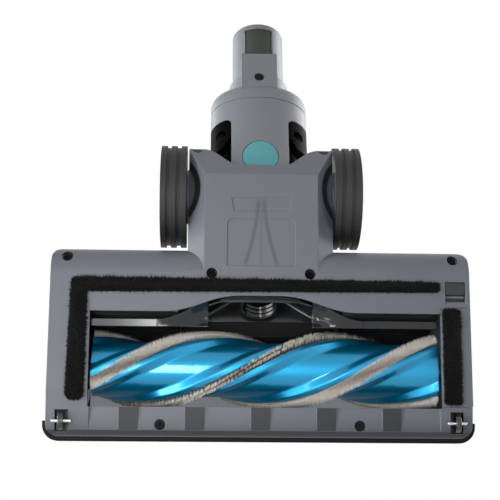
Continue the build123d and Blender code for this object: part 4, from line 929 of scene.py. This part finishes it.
class FLOORHEAD_OT_roller(bpy.types.Operator):
    """Finishes the blue roller core and builds its three bristle strips"""

    bl_idname = "floor_head.roller"
    bl_label = "Brush roller"

    def execute(self, context):
        colours = context.scene.floor_head_colours
        settings = context.scene.floor_head_bristles
        blue = {"Drift": 0.12, "Edge": 0.5, "Rough": 0.37, "Rough Spread": 0.06}
        blue |= {"Grain Scale": 5200.0, "Grain Depth": 0.03}
        lacquer = {"Metallic": 0.85, "Coat Weight": 0.7, "Coat Roughness": 0.08}
        finish("roller_blue", colours.roller, blue, lacquer)
        start, end = (corner[0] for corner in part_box("roller_core"))
        rng = np.random.default_rng(7)
        soft = hairy("soft_bristle", linear(204, 196, 184), colours.soft, 0.45, {"Sheen Weight": 0.2})
        stiff = hairy("stiff_bristle", linear(96, 92, 84), colours.stiff, 0.7, {"Specular IOR Level": 0.6})
        for index, word in ((1, "a"), (2, "b")):
            arrays = soft_strip(index, start, end, settings, rng)
            self.place(arrays, f"soft_bristles_{word}", "soft_bristle", soft, f"soft_bristle_strip_{word}")
        arrays = stiff_strip(0, start, end, settings, rng)
        self.place(arrays, "stiff_bristles", "stiff_bristle", stiff, "stiff_bristle_strip")
        return {"FINISHED"}

    def place(self, arrays, name, slot, material, replaced):
        """Makes one strip's object."""
        seat(mesh_object(name, arrays, "tint", "along"), "roller", slot, material, replaced)


class FLOORHEAD_OT_lint(bpy.types.Operator):
    """Builds the three lint strips with their pile"""

    bl_idname = "floor_head.lint"
    bl_label = "Lint strips"

    def execute(self, context):
        settings = context.scene.floor_head_bristles
        colour = context.scene.floor_head_colours.pile
        rng = np.random.default_rng(21)
        material = hairy("lint_pile", linear(6, 6, 7), colour, 0.8, {"Specular IOR Level": 0.3})
        words = ("rear", "drive", "cap")
        boxes = {word: [np.array(c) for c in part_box(f"velvet_strip_{word}")] for word in words}
        # the rear strip runs on to the outer side of the drive strip, so their pile meets in one corner
        overlap, longer = 0.005, 0.0012
        boxes["rear"][1][0] = boxes["drive"][1][0]
        boxes["drive"][1][1] = boxes["rear"][0][1] + overlap
        boxes["cap"][0][1] -= longer
        for word, corner, fringe, across, start, end in (
            ("rear", 0.0035, 0.9, 1, (0.0021, -0.0006), (0.0008, 0.0006)),
            ("drive", 0.0042, 0.0, 0, (0.0004, 0.0016), (0.0, 0.0)),
            ("cap", 0.0024, 0.0, 0, (-0.0008, 0.0), (-0.0008, 0.0)),
        ):
            arrays = lint_strip(*boxes[word], corner, fringe, settings, rng)
            hand_laid(arrays["points"], *boxes[word], across, start, end)
            piece = mesh_object(f"lint_strip_{word}", arrays, "tint", "along")
            seat(piece, "head", "velvet", material, f"velvet_strip_{word}")
        return {"FINISHED"}


class FLOORHEAD_OT_drive(bpy.types.Operator):
    """Finishes the motor, the shafts, the belt, the bush and the screws"""

    bl_idname = "floor_head.drive"
    bl_label = "Drive"

    def execute(self, context):
        ground = {"Drift": 0.3, "Edge": 0.3, "Rough": 0.28, "Rough Spread": 0.2}
        ground |= {"Grain Scale": 4000.0, "Grain Depth": 0.08}
        finish("steel", (0.55, 0.55, 0.57, 1), ground, {"Metallic": 1.0})
        finish("motor_can", (0.5, 0.5, 0.5, 1), ground, {"Metallic": 1.0})
        finish("brass_bush", (0.62, 0.45, 0.2, 1), ground, {"Metallic": 1.0})
        dull = {"Drift": 0.3, "Edge": 0.2, "Rough": 0.7, "Grain Depth": 0.3, "Grain Scale": 1500.0}
        finish("belt_rubber", linear(30, 30, 31), dull)
        oxide = {"Drift": 0.4, "Edge": 0.5, "Rough": 0.6, "Rough Spread": 0.2}
        oxide |= {"Edge Radius": 0.0003, "Grain Depth": 0.1}
        finish("screw_steel", linear(9, 9, 10), oxide, {"Specular IOR Level": 0.12})
        return {"FINISHED"}


class FLOORHEAD_OT_wheels(bpy.types.Operator):
    """Finishes the tyres, hubs and small front wheels"""

    bl_idname = "floor_head.wheels"
    bl_label = "Wheels"

    def execute(self, context):
        rubber = {"Drift": 0.3, "Edge": 0.35, "Rough": 0.58, "Grain Scale": 1500.0, "Grain Depth": 0.3}
        finish("wheel_tyre", linear(22, 23, 22), rubber, {"Specular IOR Level": 0.4})
        silver = {"Drift": 0.12, "Edge": 0.3, "Rough": 0.46, "Grain Scale": 4500.0, "Grain Depth": 0.06}
        finish("hub_silver", linear(150, 152, 157), silver, {"Metallic": 0.25})
        gloss = {"Drift": 0.2, "Edge": 0.4, "Rough": 0.26, "Grain Depth": 0.05}
        lacquer = {"Coat Weight": 0.6, "Coat Roughness": 0.08}
        finish("front_wheel_plastic", linear(7, 7, 8), gloss, lacquer)
        return {"FINISHED"}


class FLOORHEAD_OT_neck(bpy.types.Operator):
    """Finishes the trunnion, the neck, the pivot caps and the wand tube, and builds the pad's foot"""

    bl_idname = "floor_head.neck"
    bl_label = "Neck"

    def execute(self, context):
        colours = context.scene.floor_head_colours
        matte = {"Drift": 0.1, "Edge": 0.5, "Rough": 0.46, "Grain Scale": 2200.0, "Grain Depth": 0.16}
        grey = moulded("neck_plastic", colours.neck, matte)
        dress("neck_plastic", grey, "latch_slider")
        seat(mesh_object("pad_foot", pad_foot(), smooth=False), "neck", "neck_plastic", grey)
        dark = {"Drift": 0.25, "Edge": 0.3, "Rough": 0.4, "Grain Depth": 0.1}
        finish("trunnion_plastic", linear(5, 5, 4), dark, {"Specular IOR Level": 0.01})
        finish("catch_plastic", linear(56, 58, 54), dark, {"Specular IOR Level": 0.2})
        teal = {"Drift": 0.12, "Edge": 0.3, "Rough": 0.36, "Edge Radius": 0.0004, "Grain Depth": 0.05}
        finish("pivot_teal", colours.teal, teal)
        return {"FINISHED"}


class FLOORHEAD_OT_stage(bpy.types.Operator):
    """Sets the floor, the soft lamps, the pale world and the camera of the photograph"""

    bl_idname = "floor_head.stage"
    bl_label = "Stage"

    def execute(self, context):
        self.floor()
        self.lamps()
        self.world(context.scene)
        self.camera(context.scene)
        context.scene.view_settings.view_transform = "Standard"
        return {"FINISHED"}

    def floor(self):
        """Pale floor that shows only from above and passes into the white room away from the head."""
        half = 4.0
        points = np.array([[-half, -half, 0], [half, -half, 0], [half, half, 0], [-half, half, 0]])
        arrays = {"points": points, "corners": np.arange(4), "counts": np.array([4])}
        floor = mesh_object("floor", arrays)
        material = new_material("floor_paint", {"Roughness": 0.9, "Specular IOR Level": 0.1})
        tree = material.node_tree
        shader = principled(material)
        place = object_place(tree)
        grey = ramp(tree, noise(tree, place, 3.0), 0.0, 1.0, 0.84, 0.88)
        tree.links.new(grey, shader.inputs["Base Color"])
        path = tree.nodes.new("ShaderNodeLightPath")
        face = tree.nodes.new("ShaderNodeNewGeometry")
        above = math_node(tree, "SUBTRACT", 1.0, face.outputs["Backfacing"])
        reach = node(tree, "ShaderNodeVectorMath", {0: place}, operation="LENGTH").outputs["Value"]
        gone, full = 0.75, 0.28
        near = ramp(tree, reach, gone, full, kind="SMOOTHSTEP")
        shown = product(tree, path.outputs["Is Camera Ray"], above, near)
        clear = tree.nodes.new("ShaderNodeBsdfTransparent")
        mixed = node(tree, "ShaderNodeMixShader", {0: shown, 1: clear.outputs[0], 2: shader.outputs[0]})
        tree.links.new(mixed.outputs[0], tree.nodes["Material Output"].inputs["Surface"])
        floor.data.materials.append(material)

    def lamps(self):
        """Soft boxes under, beside and over the head, and two strips that shine in the roller.

        The boxes beside it are narrow beams on the wheels and the neck.
        """
        roller = Vector((0, ROLLER_AXIS[1], 0))
        middle = Vector((0, 0, 0))
        rear = Vector((0, 0.06, 0.02))
        narrow, wide = 26, 180
        for name, place, aim, power, size in (
            ("lamp_under_key", (0.54, -0.25, -0.42), middle, 4.6, (0.45, 0.45)),
            ("lamp_under_fill", (-0.80, 0.05, -0.75), middle, 0.3, (0.9, 0.9)),
            ("lamp_strip_near", (0.36, -0.065, -0.95), roller, 0.95, (0.60, 0.17)),
            ("lamp_strip_tall", (0.085, -0.13, -0.95), roller, 2.6, (0.10, 0.55)),
            ("lamp_side_key", (0.75, 0.42, -0.45), rear, 0.16, (0.4, 0.4)),
            ("lamp_side_fill", (-0.75, 0.42, -0.45), rear, 0.10, (0.4, 0.4)),
            ("lamp_over_key", (0.95, 0.10, 0.45), middle, 16.0, (0.8, 0.8)),
            ("lamp_over_fill", (-0.95, 0.45, 0.50), middle, 15.0, (0.9, 0.9)),
        ):
            data = bpy.data.lights.new(name, "AREA")
            data.energy = power
            data.shape = "RECTANGLE"
            data.size, data.size_y = size
            data.spread = math.radians(narrow if aim is rear else wide)
            lamp = bpy.data.objects.new(name, data)
            bpy.context.scene.collection.objects.link(lamp)
            back = (Vector(place) - aim).normalized()
            right = (Vector((1, 0, 0)) - back.x * back).normalized()
            turn = Matrix((right, back.cross(right), back)).transposed()
            lamp.matrix_world = Matrix.Translation(place) @ turn.to_4x4()
            lamp.visible_camera = False

    def world(self, scene):
        """White to the camera, to gloss and through glass, and a plain ambient light otherwise."""
        world = bpy.data.worlds.new("pale_room")
        world.use_nodes = True
        tree = world.node_tree
        path = tree.nodes.new("ShaderNodeLightPath")
        seen = math_node(tree, "MAXIMUM", path.outputs["Is Camera Ray"], path.outputs["Is Glossy Ray"])
        seen = math_node(tree, "MAXIMUM", seen, path.outputs["Is Transmission Ray"])
        ambient, white = (0.14, 0.145, 0.15, 1), (1, 1, 1, 1)
        colour = mix_colour(tree, seen, ambient, white)
        tree.links.new(colour, tree.nodes["Background"].inputs["Color"])
        scene.world = world

    def camera(self, scene):
        """Camera fitted to the photograph, under the sole: pitch, yaw and roll applied in turn."""
        pitch, yaw, roll = (math.radians(a) for a in (10.854, 1.979, -0.728))
        ahead = np.array([0, math.sin(pitch), math.cos(pitch)])
        upward = np.array([0, math.cos(pitch), -math.sin(pitch)])
        right = np.array([-1.0, 0, 0])
        ahead, right = (
            ahead * math.cos(yaw) + right * math.sin(yaw),
            right * math.cos(yaw) - ahead * math.sin(yaw),
        )
        upward, right = (
            upward * math.cos(roll) + right * math.sin(roll),
            right * math.cos(roll) - upward * math.sin(roll),
        )
        focal_pixels, width_pixels, sensor = 1111.4, 500, 36
        data = bpy.data.cameras.new("camera")
        data.lens = sensor * focal_pixels / width_pixels
        data.sensor_width = sensor
        data.clip_start = 0.01
        camera = bpy.data.objects.new("camera", data)
        scene.collection.objects.link(camera)
        place = np.array([0.02973, ROLLER_AXIS[1] - 0.05508, -0.650])
        columns = np.column_stack([right, upward, -ahead, place])
        camera.matrix_world = Matrix(np.vstack([columns, [0, 0, 0, 1]]).tolist())
        scene.camera = camera


class FLOORHEAD_PT_panel(bpy.types.Panel):
    """Settings and steps of the floor brush head"""

    bl_idname = "FLOORHEAD_PT_panel"
    bl_label = "Floor brush head"
    bl_space_type = "VIEW_3D"
    bl_region_type = "UI"
    bl_category = "Floor head"

    def draw(self, context):
        layout = self.layout
        for settings in (context.scene.floor_head_bristles, context.scene.floor_head_colours):
            box = layout.box()
            for key in settings.__annotations__:
                box.prop(settings, key)
        for step in STEPS:
            layout.operator(step.bl_idname)


STEPS = (
    FLOORHEAD_OT_groups,
    FLOORHEAD_OT_shells,
    FLOORHEAD_OT_air_path,
    FLOORHEAD_OT_roller,
    FLOORHEAD_OT_lint,
    FLOORHEAD_OT_drive,
    FLOORHEAD_OT_wheels,
    FLOORHEAD_OT_neck,
    FLOORHEAD_OT_stage,
)
CLASSES = (FloorHeadBristles, FloorHeadColours, *STEPS, FLOORHEAD_PT_panel)


def register():
    for kind in CLASSES:
        bpy.utils.register_class(kind)
    bpy.types.Scene.floor_head_bristles = PointerProperty(type=FloorHeadBristles)
    bpy.types.Scene.floor_head_colours = PointerProperty(type=FloorHeadColours)


def unregister():
    del bpy.types.Scene.floor_head_colours
    del bpy.types.Scene.floor_head_bristles
    for kind in reversed(CLASSES):
        bpy.utils.unregister_class(kind)


def main():
    """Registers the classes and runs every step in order."""
    register()
    bpy.ops.floor_head.groups()
    bpy.ops.floor_head.shells()
    bpy.ops.floor_head.air_path()
    bpy.ops.floor_head.roller()
    bpy.ops.floor_head.lint()
    bpy.ops.floor_head.drive()
    bpy.ops.floor_head.wheels()
    bpy.ops.floor_head.neck()
    bpy.ops.floor_head.stage()


if __name__ == "__main__":
    main()
